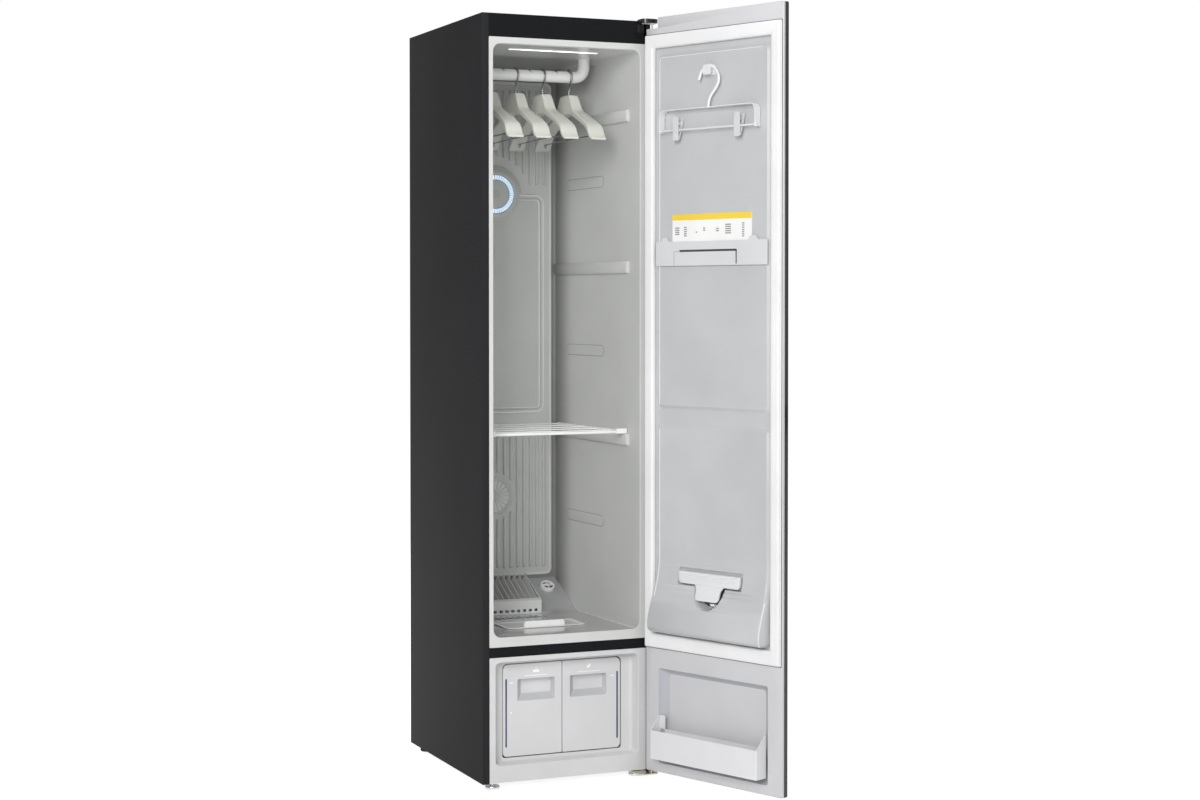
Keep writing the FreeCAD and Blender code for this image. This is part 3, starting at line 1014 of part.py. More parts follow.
# ---- write ----------------------------------------------------------------------------------------
doc.recompute()
for item in doc.Objects:
    if "Invalid" in item.State or "Error" in item.State:
        raise RuntimeError("%s is not valid: %s" % (item.Label, item.State))
os.makedirs("parts", exist_ok=True)
for node in NODES:
    if node.Shape.isNull() or not node.Shape.isValid() or not node.Shape.Solids:
        raise RuntimeError("%s has no valid solid" % node.Label)
    node.Shape.exportStep("parts/%s.step" % node.Label)
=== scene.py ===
from math import cos, hypot, pi, radians, sin, sqrt, tan

import bmesh
import bpy
from mathutils import Matrix, Vector, geometry


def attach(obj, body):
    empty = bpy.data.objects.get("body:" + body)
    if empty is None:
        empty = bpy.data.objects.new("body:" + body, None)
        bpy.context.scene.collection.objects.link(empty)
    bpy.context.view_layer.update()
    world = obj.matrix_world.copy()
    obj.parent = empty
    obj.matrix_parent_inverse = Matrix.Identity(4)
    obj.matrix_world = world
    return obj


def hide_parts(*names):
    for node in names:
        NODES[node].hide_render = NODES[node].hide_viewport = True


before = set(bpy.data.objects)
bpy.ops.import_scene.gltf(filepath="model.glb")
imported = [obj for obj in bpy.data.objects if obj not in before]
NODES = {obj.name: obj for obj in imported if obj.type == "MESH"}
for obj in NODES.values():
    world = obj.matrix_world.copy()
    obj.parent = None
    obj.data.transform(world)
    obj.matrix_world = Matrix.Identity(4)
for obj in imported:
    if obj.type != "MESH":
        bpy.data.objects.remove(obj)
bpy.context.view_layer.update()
TAU = 2 * pi
BOTH = (-1, 1)


def at(x, y, z=0):
    return Matrix.Translation((x, y, z))


def turn(angle, axis="Z"):
    return Matrix.Rotation(angle, 4, axis)


# Pieces are drawn in millimetres, with y = 0 in the plane of the case's front edges and the door shut.
MM = 0.001
ORIGIN = (76.9958246, 56.4925573)
HINGE = (212, -24)
DOOR_OPEN = radians(111)
IN_CASE = Matrix.Scale(MM, 4) @ at(-ORIGIN[0], -ORIGIN[1])
ON_DOOR = IN_CASE @ at(*HINGE) @ turn(DOOR_OPEN) @ at(-HINGE[0], -HINGE[1])
DOOR_BODIES = {"door", "basket", "lever", "trousers", "clip_left", "clip_right"}

# Measures that several pieces share.
HALF, DEPTH, TOP = 219, 543, 1850       # the case outside
SKIN = 1.2                              # the thickness of its sheets
SHEET_LOW, SHEET_HIGH = 16, 1848.8      # the side and back sheets, below and above
STRIP_HALF, FACE_RIGHT = 201.7, 207     # the front strips, and the right edge of the flange and the fascia
CEILING_Z, FLOOR_Z = 1779, 361          # the compartment
DUCT_Y, REAR_Y = 503.7, 507.7           # the duct cover's face, and the wall behind it
OUTLET_Z, INTAKE_Z = 1448, 655          # the two round fittings of the duct cover
PAD_HEIGHTS = (1471, 1042, 609)         # the raised pads of the side walls
SLOT_XS = range(-64, 65, 16)            # the slots in the floor and in the louvre's lip
HANGER_X = (-115, -43, 29, 101)         # the middles of the four hangers, along the bar


# ---- finishes ----
def linear(*levels):
    """A linear colour from sRGB levels of 0 to 255."""
    shades = [((c / 255 + 0.055) / 1.055) ** 2.4 if c > 10 else c / 255 / 12.92 for c in levels]
    return (*shades, 1.0)


def add_node(tree, kind, **values):
    """A shader node, with its inputs set by their names."""
    made = tree.nodes.new("ShaderNode" + kind)
    for field, value in values.items():
        made.inputs[field.replace("_", " ")].default_value = value
    return made


def finish(name, levels, rough=0.45, spread=0.05, grain=900, depth=4, bump=0.2, mottle=0.04, metallic=0.0,
           coat=0.0, specular=0.5, stretch=(1, 1, 1), glow=None, clear=0.0, deep=None):
    """A plastic or metal, mottled in large patches and with a fine grain in its gloss and relief.
    The grain's depth is in hundredths of a millimetre. Deep paints shade into the colour, darker towards the
    back: from, to, share."""
    made = bpy.data.materials.new(name)
    made.use_nodes = True
    tree = made.node_tree
    link = tree.links.new
    colour = linear(*levels)[:3]
    shader = tree.nodes["Principled BSDF"]
    for field, value in (("Metallic", metallic), ("Specular IOR Level", specular), ("Coat Weight", coat),
                         ("Coat Roughness", 0.12), ("Transmission Weight", clear)):
        shader.inputs[field].default_value = value
    place = add_node(tree, "TexCoord")
    scale = add_node(tree, "Mapping", Scale=stretch)
    link(place.outputs["Object"], scale.inputs["Vector"])
    cloud = add_node(tree, "TexNoise", Scale=6, Detail=4)
    link(scale.outputs["Vector"], cloud.inputs["Vector"])
    shades = add_node(tree, "ValToRGB")
    dark, pale = shades.color_ramp.elements
    dark.position, pale.position = 0.3, 0.7
    dark.color = (*[c * (1 - mottle) for c in colour], 1)
    pale.color = (*[min(c * (1 + mottle), 1) for c in colour], 1)
    link(cloud.outputs["Fac"], shades.inputs["Fac"])
    if deep:
        # Painted shade: the colour darkens towards the back, where shade gathers in the compartment.
        start, end, share = deep
        split = add_node(tree, "SeparateXYZ")
        link(place.outputs["Object"], split.inputs["Vector"])
        painted_shade = add_node(tree, "MapRange", From_Min=start, From_Max=end, To_Min=0, To_Max=share)
        painted_shade.interpolation_type = "SMOOTHSTEP"
        link(split.outputs["Y"], painted_shade.inputs["Value"])
        blend = add_node(tree, "MixRGB", Color2=(*[c * 0.2 for c in colour], 1))
        link(painted_shade.outputs["Result"], blend.inputs["Fac"])
        link(shades.outputs["Color"], blend.inputs["Color1"])
        link(blend.outputs["Color"], shader.inputs["Base Color"])
    else:
        link(shades.outputs["Color"], shader.inputs["Base Color"])
    fine = add_node(tree, "TexNoise", Scale=grain, Detail=2)
    link(scale.outputs["Vector"], fine.inputs["Vector"])
    gloss = add_node(tree, "MapRange", To_Min=max(rough - spread, 0.02), To_Max=rough + spread)
    link(fine.outputs["Fac"], gloss.inputs["Value"])
    link(gloss.outputs["Result"], shader.inputs["Roughness"])
    relief = add_node(tree, "Bump", Strength=bump, Distance=depth * 1e-5)
    link(fine.outputs["Fac"], relief.inputs["Height"])
    link(relief.outputs["Normal"], shader.inputs["Normal"])
    if glow:
        shader.inputs["Emission Color"].default_value = linear(*glow[0])
        shader.inputs["Emission Strength"].default_value = glow[1]
    return made


DARK_STEEL = finish("painted_dark_steel", (42, 41, 43), 0.6, grain=1600, depth=8, bump=0.35, specular=0.08)
DARK_STRIP = finish("dark_front_plastic", (27, 28, 30), 0.5, grain=1200, depth=5, specular=0.06)
DARK_BACK = finish("dark_zinc_sheet", (66, 67, 69), 0.5, metallic=0.4, grain=700, mottle=0.1)
# The liner carries painted shade that darkens it towards the back of the compartment.
LINER = finish("liner_plastic", (212, 213, 211), 0.36, grain=700, depth=3, bump=0.15,
               deep=(0.335, 0.455, 0.8))
LINER_RIM = finish("flange_plastic", (214, 214, 214), 0.38, grain=700, depth=3, bump=0.15)
PAD_EDGE_SHADE = finish("pad_edge_painted_shade", (158, 159, 158), 0.4, grain=800, depth=2)
CREST_HIGHLIGHT = finish("crest_painted_highlight", (236, 237, 239), 0.3, grain=800, depth=2)
GRIP_WALL_SHADE = finish("tank_grip_wall_painted_shade", (198, 199, 200), 0.35, grain=800, depth=2)
CEILING = finish("ceiling_plastic", (228, 229, 227), 0.1, depth=1, bump=0.03)
RIM_PALE_AND_HIGHLIGHT = finish("pale_rim_and_painted_highlight", (240, 242, 240), 0.22, grain=800, depth=3, bump=0.1)
DUCT = finish("duct_cover_plastic", (212, 214, 212), 0.28, grain=800, depth=3, bump=0.15)
FLOOR = finish("floor_plastic", (174, 175, 175), 0.14, spread=0.04, grain=800, depth=2, coat=0.4)
LOUVRE = finish("louvre_plastic", (206, 206, 204), 0.42, grain=800)
WHITE = finish("white_gloss_plastic", (246, 247, 246), 0.25, grain=500, depth=2, coat=0.3)
CREAM = finish("hanger_plastic", (216, 217, 209), 0.26, grain=700, depth=3, mottle=0.03)
CHROME = finish("polished_chrome", (206, 208, 210), 0.14, spread=0.04, metallic=1.0, mottle=0.02)
SATIN_WIRE = finish("satin_wire", (240, 240, 240), 0.3, metallic=0.2, mottle=0.03, grain=500)
HOOK_STEEL = finish("hook_steel", (158, 161, 165), 0.1, spread=0.04, metallic=1.0, mottle=0.02)
ROD = finish("coated_rod", (246, 246, 246), 0.2, grain=600, coat=0.3)
TANK = finish("tank_front_plastic", (216, 216, 217), 0.36)
FRAME = finish("lower_front_plastic", (214, 214, 214), 0.38)
BAY = finish("tank_bay_plastic", (58, 59, 61), 0.5, grain=600)
SMOKE = finish("smoked_tank_plastic", (150, 154, 160), 0.2, grain=400, mottle=0.05, clear=0.35)
SLIT = finish("level_window", (52, 56, 78), 0.15, grain=300, mottle=0.08, coat=0.5)
SLIT_EDGE = finish("level_window_border", (176, 184, 206), 0.3)
PRINT = finish("white_print", (250, 250, 250), 0.4, grain=1500)
DOOR_FRAME = finish("door_frame_plastic", (207, 207, 210), 0.36, grain=400, depth=2, bump=0.06)
DOOR_LINER = finish("door_liner_plastic", (197, 198, 200), 0.38)
PAN_WALL_SHADE = finish("pan_wall_painted_shade", (182, 184, 189), 0.4)
BASKET = finish("basket_plastic", (226, 226, 228), 0.34)
CLIP = finish("clip_plastic", (228, 229, 231), 0.34, depth=3)
JAW = finish("clear_jaw_plastic", (238, 240, 242), 0.16, grain=500, depth=2, clear=0.3)
GASKET = finish("white_gasket", (240, 240, 240), 0.55, grain=500, depth=3, bump=0.08)
RACK = finish("bracket_plastic", (218, 219, 221), 0.36, depth=3)
GLASS = finish("dark_door_glass", (24, 25, 28), 0.08, spread=0.02, grain=200, specular=0.3, coat=0.2,
               bump=0.05)
# Black enamel of the hinge plate, and also a painted shadow under the floor's slots.
BLACK_ENAMEL_AND_SHADE = finish("black_hinge_enamel_and_painted_shade", (22, 22, 23), 0.3, coat=0.3)
BRASSY = finish("passivated_hinge_steel", (196, 190, 174), 0.28, metallic=1.0, grain=400, mottle=0.14,
                stretch=(1, 8, 1))
ZINC = finish("zinc_plate", (170, 172, 174), 0.32, metallic=1.0, grain=300, mottle=0.14)
RUBBER = finish("foot_rubber", (36, 36, 37), 0.75, grain=1100, depth=10, bump=0.4)
HOSE = finish("hose_rubber", (70, 70, 73), 0.7, depth=10, bump=0.4)
PUMP = finish("black_enamel", (24, 24, 25), 0.25, grain=500, coat=0.4, depth=10)
ALLOY = finish("cast_alloy", (190, 192, 195), 0.4, metallic=1.0, grain=500, depth=15, mottle=0.08)
GREY = finish("grey_plastic", (150, 151, 152), 0.45, grain=800)
LIGHT = finish("ceiling_light", (250, 250, 246), 0.4, glow=((252, 255, 244), 2.6))
RING_BLUE = finish("ring_blue_lens", (120, 160, 190), 0.3, glow=((110, 170, 215), 0.2))
RING_WHITE = finish("ring_white_light", (226, 238, 244), 0.3, glow=((226, 240, 250), 0.85))
BLUE_DOT = finish("blue_marks", (96, 150, 170), 0.4)
CARD = finish("card_paper", (246, 246, 245), 0.7, grain=1600, depth=2)
CARD_YELLOW = finish("card_yellow_ink", (246, 212, 62), 0.65, grain=1600)
CARD_INK = finish("card_grey_ink", (150, 151, 156), 0.65, grain=1600)
# Painted shade: dark sheets put in hollows and gaps where shade falls.
CAVITY_SHADE = finish("painted_cavity_shade", (74, 75, 77), 0.6, grain=600)


# ---- outlines ----
def box_outline(u0, u1, v0, v1):
    return [(u0, v0), (u1, v0), (u1, v1), (u0, v1)]


def rounded(outline, radius, steps=5):
    """An outline with its corners turned, at one radius or at one for each corner."""
    radii = radius if isinstance(radius, (list, tuple)) else [radius] * len(outline)
    points = []
    for k, corner in enumerate(outline):
        here = Vector(corner)
        before = Vector(outline[k - 1]) - here
        after = Vector(outline[(k + 1) % len(outline)]) - here
        if radii[k] <= 0 or before.length < 1e-6 or after.length < 1e-6:
            points.append(tuple(here))
            continue
        bend = before.angle(after)
        run = min(radii[k] / tan(bend / 2), before.length * 0.499, after.length * 0.499)
        reach = run * tan(bend / 2)
        start, end = here + before.normalized() * run, here + after.normalized() * run
        centre = here + (before.normalized() + after.normalized()).normalized() * (reach / sin(bend / 2))
        first, last = start - centre, end - centre
        sweep = first.angle(last)
        for step in range(steps + 1):
            share = step / steps
            blend_a = sin((1 - share) * sweep) / sin(sweep)
            blend_b = sin(share * sweep) / sin(sweep)
            points.append(tuple(centre + first * blend_a + last * blend_b))
    return points


def rounded_box(u0, u1, v0, v1, radius, steps=5):
    return rounded(box_outline(u0, u1, v0, v1), radius, steps)


def inset_rows(u0, u1, v0, v1, radius, rows, steps=6, least=0):
    """Rows for layers: a rounded box drawn in by each (inset, height)."""
    return [(rounded_box(u0 + i, u1 - i, v0 + i, v1 - i, max(radius - i, least), steps), height)
            for i, height in rows]


def rolled_edge(half, low, high, radius, roll):
    """Rows for layers that turn a front face into an opening."""
    rows = []
    for step in range(5):
        swing = pi / 2 * step / 4
        out = roll * (1 - sin(swing))
        rows.append((rounded_box(-half - out, half + out, low - out, high + out, radius + out, 8),
                     roll * (1 - cos(swing))))
    return rows


def circle(u, v, radius, count=32):
    return [(u + radius * cos(TAU * k / count), v + radius * sin(TAU * k / count))
            for k in range(count)]


def span(side, near, far):
    """The ends of a stretch on the left or the right, the lower one first."""
    return sorted((side * near, side * far))


def wall_x(y):
    """Half the width between the compartment's side walls, which close in towards the back."""
    return 191 - 15 * y / 508


def smoothstep(share):
    share = min(max(share, 0), 1)
    return share * share * (3 - 2 * share)


def between(rows, place):
    """The value at a place along (place, value) rows."""
    for (low, first), (high, last) in zip(rows, rows[1:]):
        if place <= high:
            return first + (last - first) * (place - low) / (high - low)
    return rows[-1][1]


# ---- mesh tools ----
LIFT = {"XY": lambda u, v, w: (u, v, w), "XZ": lambda u, v, w: (u, w, v), "YZ": lambda u, v, w: (w, u, v)}


class Shape:
    def __init__(self):
        self.points = []
        self.faces = []

    def join(self, other, matrix=None):
        base = len(self.points)
        self.points += [tuple(matrix @ Vector(p)) for p in other.points] if matrix else other.points
        self.faces += [tuple(base + k for k in face) for face in other.faces]

    def wrap(self, count, rows):
        """Faces round a skin of rows, all of the same count of points."""
        for first in range(0, count * (rows - 1), count):
            for k in range(count):
                a, b = first + k, first + (k + 1) % count
                self.faces.append((a, b, b + count, a + count))


def slab(plane, outline, low, high, holes=()):
    """A flat plate with holes, between two heights across its plane."""
    loops = [outline, *holes]
    lift = LIFT[plane]
    flat = [p for loop in loops for p in loop]
    count = len(flat)
    made = Shape()
    made.points = [lift(u, v, low) for u, v in flat] + [lift(u, v, high) for u, v in flat]
    for a, b, c in geometry.tessellate_polygon([[Vector((u, v, 0)) for u, v in loop] for loop in loops]):
        made.faces += [(a, b, c), (count + c, count + b, count + a)]
    first = 0
    for loop in loops:
        size = len(loop)
        for k in range(size):
            a, b = first + k, first + (k + 1) % size
            made.faces.append((a, b, count + b, count + a))
        first += size
    return made


def block(x0, x1, y0, y1, z0, z1):
    return slab("XY", box_outline(x0, x1, y0, y1), z0, z1)


def layers(plane, loops, cap_first=True, cap_last=True):
    """A skin through outlines of the same count, each (outline, height)."""
    lift = LIFT[plane]
    made = Shape()
    count = len(loops[0][0])
    for outline, height in loops:
        made.points += [lift(u, v, height) for u, v in outline]
    made.wrap(count, len(loops))
    for wanted, row in ((cap_first, 0), (cap_last, len(loops) - 1)):
        if wanted:
            outline = loops[row][0]
            for face in geometry.tessellate_polygon([[Vector((u, v, 0)) for u, v in outline]]):
                made.faces.append(tuple(row * count + k for k in face))
    return made


def spin(profile, count=48, closed=False):
    """A turned shape about Z from (radius, height) points."""
    made = Shape()
    rows = []
    for radius, height in profile:
        if radius < 1e-6:
            rows.append([len(made.points)])
            made.points.append((0, 0, height))
        else:
            rows.append(list(range(len(made.points), len(made.points) + count)))
            made.points += [(u, v, height) for u, v in circle(0, 0, radius, count)]
    pairs = list(zip(rows, rows[1:])) + ([(rows[-1], rows[0])] if closed else [])
    for low, high in pairs:
        for k in range(count):
            after = (k + 1) % count
            if len(low) == 1 and len(high) == 1:
                continue
            if len(low) == 1:
                made.faces.append((low[0], high[k], high[after]))
            elif len(high) == 1:
                made.faces.append((low[k], low[after], high[0]))
            else:
                made.faces.append((low[k], low[after], high[after], high[k]))
    return made


def smooth_path(points, steps=8):
    """Catmull-Rom points through the given ones."""
    points = [Vector(p) for p in points]
    ends = [points[0] * 2 - points[1], *points, points[-1] * 2 - points[-2]]
    path = []
    for a, b, c, d in zip(ends, ends[1:], ends[2:], ends[3:]):
        for step in range(steps):
            t = step / steps
            path.append(0.5 * ((2 * b) + (c - a) * t + (2 * a - 5 * b + 4 * c - d) * t ** 2
                               + (3 * b - a - 3 * c + d) * t ** 3))
    path.append(ends[-2])
    return path


def tube(path, radius, sides=12, closed=False):
    """A round bar along a path."""
    path = [Vector(p) for p in path]
    count = len(path)
    made = Shape()
    up = None
    for k in range(count):
        ahead = path[(k + 1) % count] if closed or k < count - 1 else path[k]
        behind = path[k - 1] if closed or k > 0 else path[k]
        along = (ahead - behind).normalized()
        if up is None:
            up = along.orthogonal().normalized()
        up = (up - along * up.dot(along)).normalized()
        side = along.cross(up)
        for s in range(sides):
            angle = TAU * s / sides
            made.points.append(tuple(path[k] + (up * cos(angle) + side * sin(angle)) * radius))
    for k in range(count if closed else count - 1):
        for s in range(sides):
            a, b = k * sides + s, k * sides + (s + 1) % sides
            c, d = ((k + 1) % count) * sides + (s + 1) % sides, ((k + 1) % count) * sides + s
            made.faces.append((a, b, c, d))
    if not closed:
        made.faces += [tuple(range(sides)), tuple((count - 1) * sides + s for s in range(sides))]
    return made


def surface(rows):
    """An open skin through rows of points of the same count."""
    made = Shape()
    made.points = [tuple(p) for row in rows for p in row]
    count = len(rows[0])
    for first in range(0, count * (len(rows) - 1), count):
        for k in range(first, first + count - 1):
            made.faces.append((k, k + 1, k + count + 1, k + count))
    return made


MERGE, FLAT = 2e-6, radians(0.3)        # points closer than this become one, and faces flatter are joined


def make(name, shape, material, replaces=(), body="case", bevel=0.0, crease=35, segments=2,
         matrix=None):
    """One piece. Its edges sharper than crease degrees are bevelled, or kept sharp without a bevel."""
    mesh = bpy.data.meshes.new(name)
    place = ON_DOOR if body in DOOR_BODIES else IN_CASE
    if matrix:
        place = place @ matrix
    mesh.from_pydata([place @ Vector(p) for p in shape.points], [], shape.faces)
    build = bmesh.new()
    build.from_mesh(mesh)
    bmesh.ops.remove_doubles(build, verts=build.verts, dist=MERGE)
    bmesh.ops.dissolve_degenerate(build, edges=build.edges, dist=MERGE)
    bmesh.ops.recalc_face_normals(build, faces=build.faces)
    bmesh.ops.dissolve_limit(build, angle_limit=FLAT, verts=build.verts, edges=build.edges)
    for face in build.faces:
        face.smooth = True
    build.to_mesh(mesh)
    build.free()
    piece = bpy.data.objects.new(name, mesh)
    bpy.context.scene.collection.objects.link(piece)
    if bevel:
        soft = piece.modifiers.new("soft_edges", "BEVEL")
        soft.width = bevel * MM
        soft.segments = segments
        soft.limit_method = "ANGLE"
        soft.angle_limit = radians(crease)
        soft.harden_normals = True
    else:
        mesh.set_sharp_from_angle(angle=radians(crease))
    mesh.materials.append(material)
    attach(piece, body)
    if replaces:
        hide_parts(*replaces)


def dress(node, material):
    """A material for a CAD piece that is shown as it is."""
    piece = NODES[node]
    piece.data.materials.clear()
    piece.data.materials.append(material)


# ---- case shells ----
BACK_IN = DEPTH - SKIN
sheet_turn = [(202, 0), (HALF, 0), (HALF, BACK_IN), (205, BACK_IN), (205, BACK_IN - SKIN),
              (HALF - SKIN, BACK_IN - SKIN), (HALF - SKIN, SKIN), (202, SKIN)]
sheet_radii = [0.5, 2.4, 2.4, 0.4, 0.4, 1.2, 1.2, 0.5]
for name, side, turn_end in (("left", -1, 202), ("right", 1, 207.2)):
    outline = [(side * max(u, turn_end if v < 2 else 0), v) for u, v in rounded(sheet_turn, sheet_radii, 4)]
    make(name + "_side_sheet", slab("XY", outline, SHEET_LOW, SHEET_HIGH), DARK_STEEL,
         [name + "_side_panel"], bevel=0.3)

top_sheet = slab("XY", rounded_box(-HALF, HALF, 0, DEPTH, 2.4), SHEET_HIGH, TOP)
for side in BOTH:
    top_sheet.join(block(*span(side, 216.3, 217.5), 64, 539.4, 1836, 1848.9))
make("top_sheet", top_sheet, DARK_STEEL, ["top_panel"], bevel=0.4)

# The back has louvre slots low down, the power inlet's hole and three pressed fields.
back_holes = []
for low in range(120, 253, 12):
    vent = rounded_box(65, 135, low, low + 4, 1.9, 4)
    back_holes += [vent, [(-u, v) for u, v in reversed(vent)]]
back_holes.append(box_outline(-179.3, -150.7, 64.7, 85.3))
PRESSED = ((330, 760), (820, 1250), (1310, 1740))
pressed_edges = [rounded_box(-150, 150, low, high, 30, 6) for low, high in PRESSED]
back_sheet = slab("XZ", box_outline(-HALF, HALF, SHEET_LOW, SHEET_HIGH), BACK_IN, DEPTH,
                  back_holes + pressed_edges)
for (low, high), edge in zip(PRESSED, pressed_edges):
    sunk = rounded_box(-144, 144, low + 6, high - 6, 26, 6)
    for y in (BACK_IN, DEPTH):
        back_sheet.join(layers("XZ", [(edge, y), (sunk, y - 3)], False, True))
make("back_sheet", back_sheet, DARK_BACK, ["back_panel"])

screw = spin([(0, 2.2), (0.9, 2.2), (1.0, 1.2), (2.9, 1.5), (3.8, 0.9), (4, 0), (0, 0)], 24)
screw.join(spin([(1.5, 0), (1.5, -8), (0, -8)], 12))
flatter = Matrix.Scale(0.8, 4, (0, 0, 1))
screws = Shape()
for row in range(6):
    for side in BOTH:
        screws.join(screw, at(side * 212, DEPTH, 60 + 340 * row) @ turn(-pi / 2, "X") @ flatter)
make("rear_screws", screws, ZINC, ["rear_panel_screws"], crease=30)
dress("base_plate", ZINC)
dress("power_inlet", PUMP)

FOOT_X = 188
foot_profile = [(0, 0), (15.5, 0), (17.2, 0.8), (17.8, 2.2), (17.8, 6.8), (17.2, 8.2), (16, 9), (6.5, 9),
                (6.5, 10.5), (4, 10.5), (4, 34), (0, 34)]
for name, side in (("left", -1), ("right", 1)):
    seat = at(side * FOOT_X, 20)
    foot = Shape()
    foot.join(spin(foot_profile, 40), seat)
    for k in range(24):
        foot.join(block(17.2, 18, -0.8, 0.8, 2.4, 6.6), seat @ turn(TAU * k / 24))
    make("front_foot_%s_cup" % name, foot, CHROME, ["front_foot_" + name], "foot_" + name, crease=30)
rear = Shape()
for side in BOTH:
    rear.join(spin([(0, 0), (16.5, 0), (18, 1.5), (18, 16), (17, 18), (4, 18), (4, 34), (0, 34)], 40),
              at(side * FOOT_X, 500))
make("rear_foot_pads", rear, RUBBER, ["rear_feet"], crease=30)

cover = rounded([(0, 1794.6), (60, 1794.6), (60, 1797.1), (2.5, 1797.1), (2.5, 1848.5), (0, 1848.5)],
                [1.2, 0, 0, 0.8, 0, 1.2], 3)
rail = rounded([(0, 317.3), (30, 317.3), (30, 319.8), (2.5, 319.8), (2.5, 339.2), (30, 339.2), (30, 341.7),
                (0, 341.7)], [1.2, 0, 0, 0.8, 0.8, 0, 0, 1.2], 3)
for name, outline, node in (("top_front_band", cover, "top_front_cover"),
                            ("middle_band", rail, "middle_rail")):
    make(name, slab("YZ", outline, -STRIP_HALF, STRIP_HALF), DARK_STRIP, [node], bevel=0.3)

# ---- compartment ----
flange = rounded_box(-STRIP_HALF, FACE_RIGHT, 342, 1794.3, 1.5, 3)
flange_hole = rounded_box(-192.5, 192.5, 363.5, 1780.5, 21.5, 8)
liner = slab("XZ", flange, 0.6, 2, [flange_hole])
liner.join(slab("XZ", flange, 0, 0.6, [flange_hole]))
walls = rolled_edge(191, 365, CEILING_Z, 20, 1.5)
for y, radius in ((8, 19), (40, 16), (120, 14), (300, 14), (476, 14)):
    walls.append((rounded_box(-wall_x(y), wall_x(y), 352, CEILING_Z, radius, 8), y))
for step in range(1, 6):
    swing = pi / 2 * step / 5
    pull = 8 * (1 - cos(swing))
    half = wall_x(500) - pull
    walls.append((rounded_box(-half, half, 352 + pull * 0.2, CEILING_Z - pull, 14, 8),
                  500 + 8 * sin(swing)))
liner.join(layers("XZ", walls, False, True))

# The ledges moulded into the side walls: their tops, and how far back they run.
LEDGE_Y = 62
for high, end in ((1640, 269), (1266, 505), (840, 505)):
    for side in BOTH:
        a, b = wall_x(LEDGE_Y), wall_x(end)
        ledge = [(side * (a + 1), LEDGE_Y), (side * (a - 7), LEDGE_Y), (side * (a - 9), LEDGE_Y + 4),
                 (side * (b - 9), end - 6), (side * (b - 5), end), (side * (b + 1), end)]
        under = [(side * (a + 1), LEDGE_Y), (side * (a - 4), LEDGE_Y), (side * (a - 6), LEDGE_Y + 6),
                 (side * (b - 4), end - 10), (side * (b - 2), end), (side * (b + 1), end)]
        liner.join(layers("XY", [(under, high - 29), (ledge, high - 24), (ledge, high - 1.5),
                                 ([(u + side * 1.5, v) for u, v in ledge], high)]))

PAD_STEPS = ((0, 0.6), (0, -0.3), (0.8, -0.9), (2.2, -1.1))
pad_edge_shades = Shape()
for z in PAD_HEIGHTS:
    for side in BOTH:
        pad = layers("YZ", inset_rows(208, 433, z - 13.5, z + 13.5, 13, PAD_STEPS), False, False)
        pad.points = [(side * (wall_x(y) + off), y, h) for off, y, h in pad.points]
        count = len(pad.points)
        pad.faces.append(tuple(range(count - count // len(PAD_STEPS), count)))
        liner.join(pad)
        # A dark ring round each pad: painted shade along the pad's raised edge.
        edge_shade = slab("YZ", rounded_box(207, 434, z - 14.5, z + 14.5, 14, 6), 0, 0.5,
                    [rounded_box(209, 432, z - 12.5, z + 12.5, 12, 6)])
        edge_shade.points = [(side * (wall_x(y) - 0.7 + x), y, h) for x, y, h in edge_shade.points]
        pad_edge_shades.join(edge_shade)
make("liner_pad_edge_shades", pad_edge_shades, PAD_EDGE_SHADE, crease=40)
make("liner_shell", liner, LINER, ["cabinet_liner"], crease=40)
ceiling = [(-178, 12), (178, 12), (wall_x(492) - 13, 492), (13 - wall_x(492), 492)]
make("ceiling_skin", slab("XY", ceiling, 1778.5, 1778.9), CEILING, crease=50)

# The floor: a flat plate with the tray's hole, the louvre's slots and two drain slots, and a ramp behind it.
holes = [rounded_box(-100, 100, 140, 230, 6, 4)]
holes += [rounded_box(x - 4.5, x + 4.5, 298, 322, 2, 3) for x in SLOT_XS]
holes += [rounded(((-157, y), (-127, y - 6), (-127, y + 2), (-157, y + 8)), 3, 3) for y in (66, 92)]
front_half, knee_half = wall_x(2.3) - 0.3, wall_x(382) - 0.3
floor_plan = [(-front_half, 2.3), (front_half, 2.3), (knee_half, 360), (-knee_half, 360)]
base_floor = slab("XY", floor_plan, FLOOR_Z - 3, FLOOR_Z, holes)
RAMP = ((360, 361), (370, 361.6), (380, 364), (390, 368.4), (400, 373.6), (477, 416.6), (507.7, 433.8))
ramp = Shape()
for y, z in RAMP:
    half = wall_x(min(y, 500)) - (0.3 if y < 501 else 6)
    ramp.points += [(-half, y, z), (half, y, z), (half, y, z - 3), (-half, y, z - 3)]
ramp.wrap(4, len(RAMP))
ramp.faces += [(0, 1, 2, 3), tuple(range(4 * len(RAMP) - 4, 4 * len(RAMP)))]
base_floor.join(ramp)
make("floor_tray_plate", base_floor, FLOOR, ["compartment_floor"], crease=50)
under_slots = slab("XY", rounded_box(-74, 74, 294, 326, 3, 3), 356.8, 357.8)
make("floor_hole_shadow", under_slots, BLACK_ENAMEL_AND_SHADE)

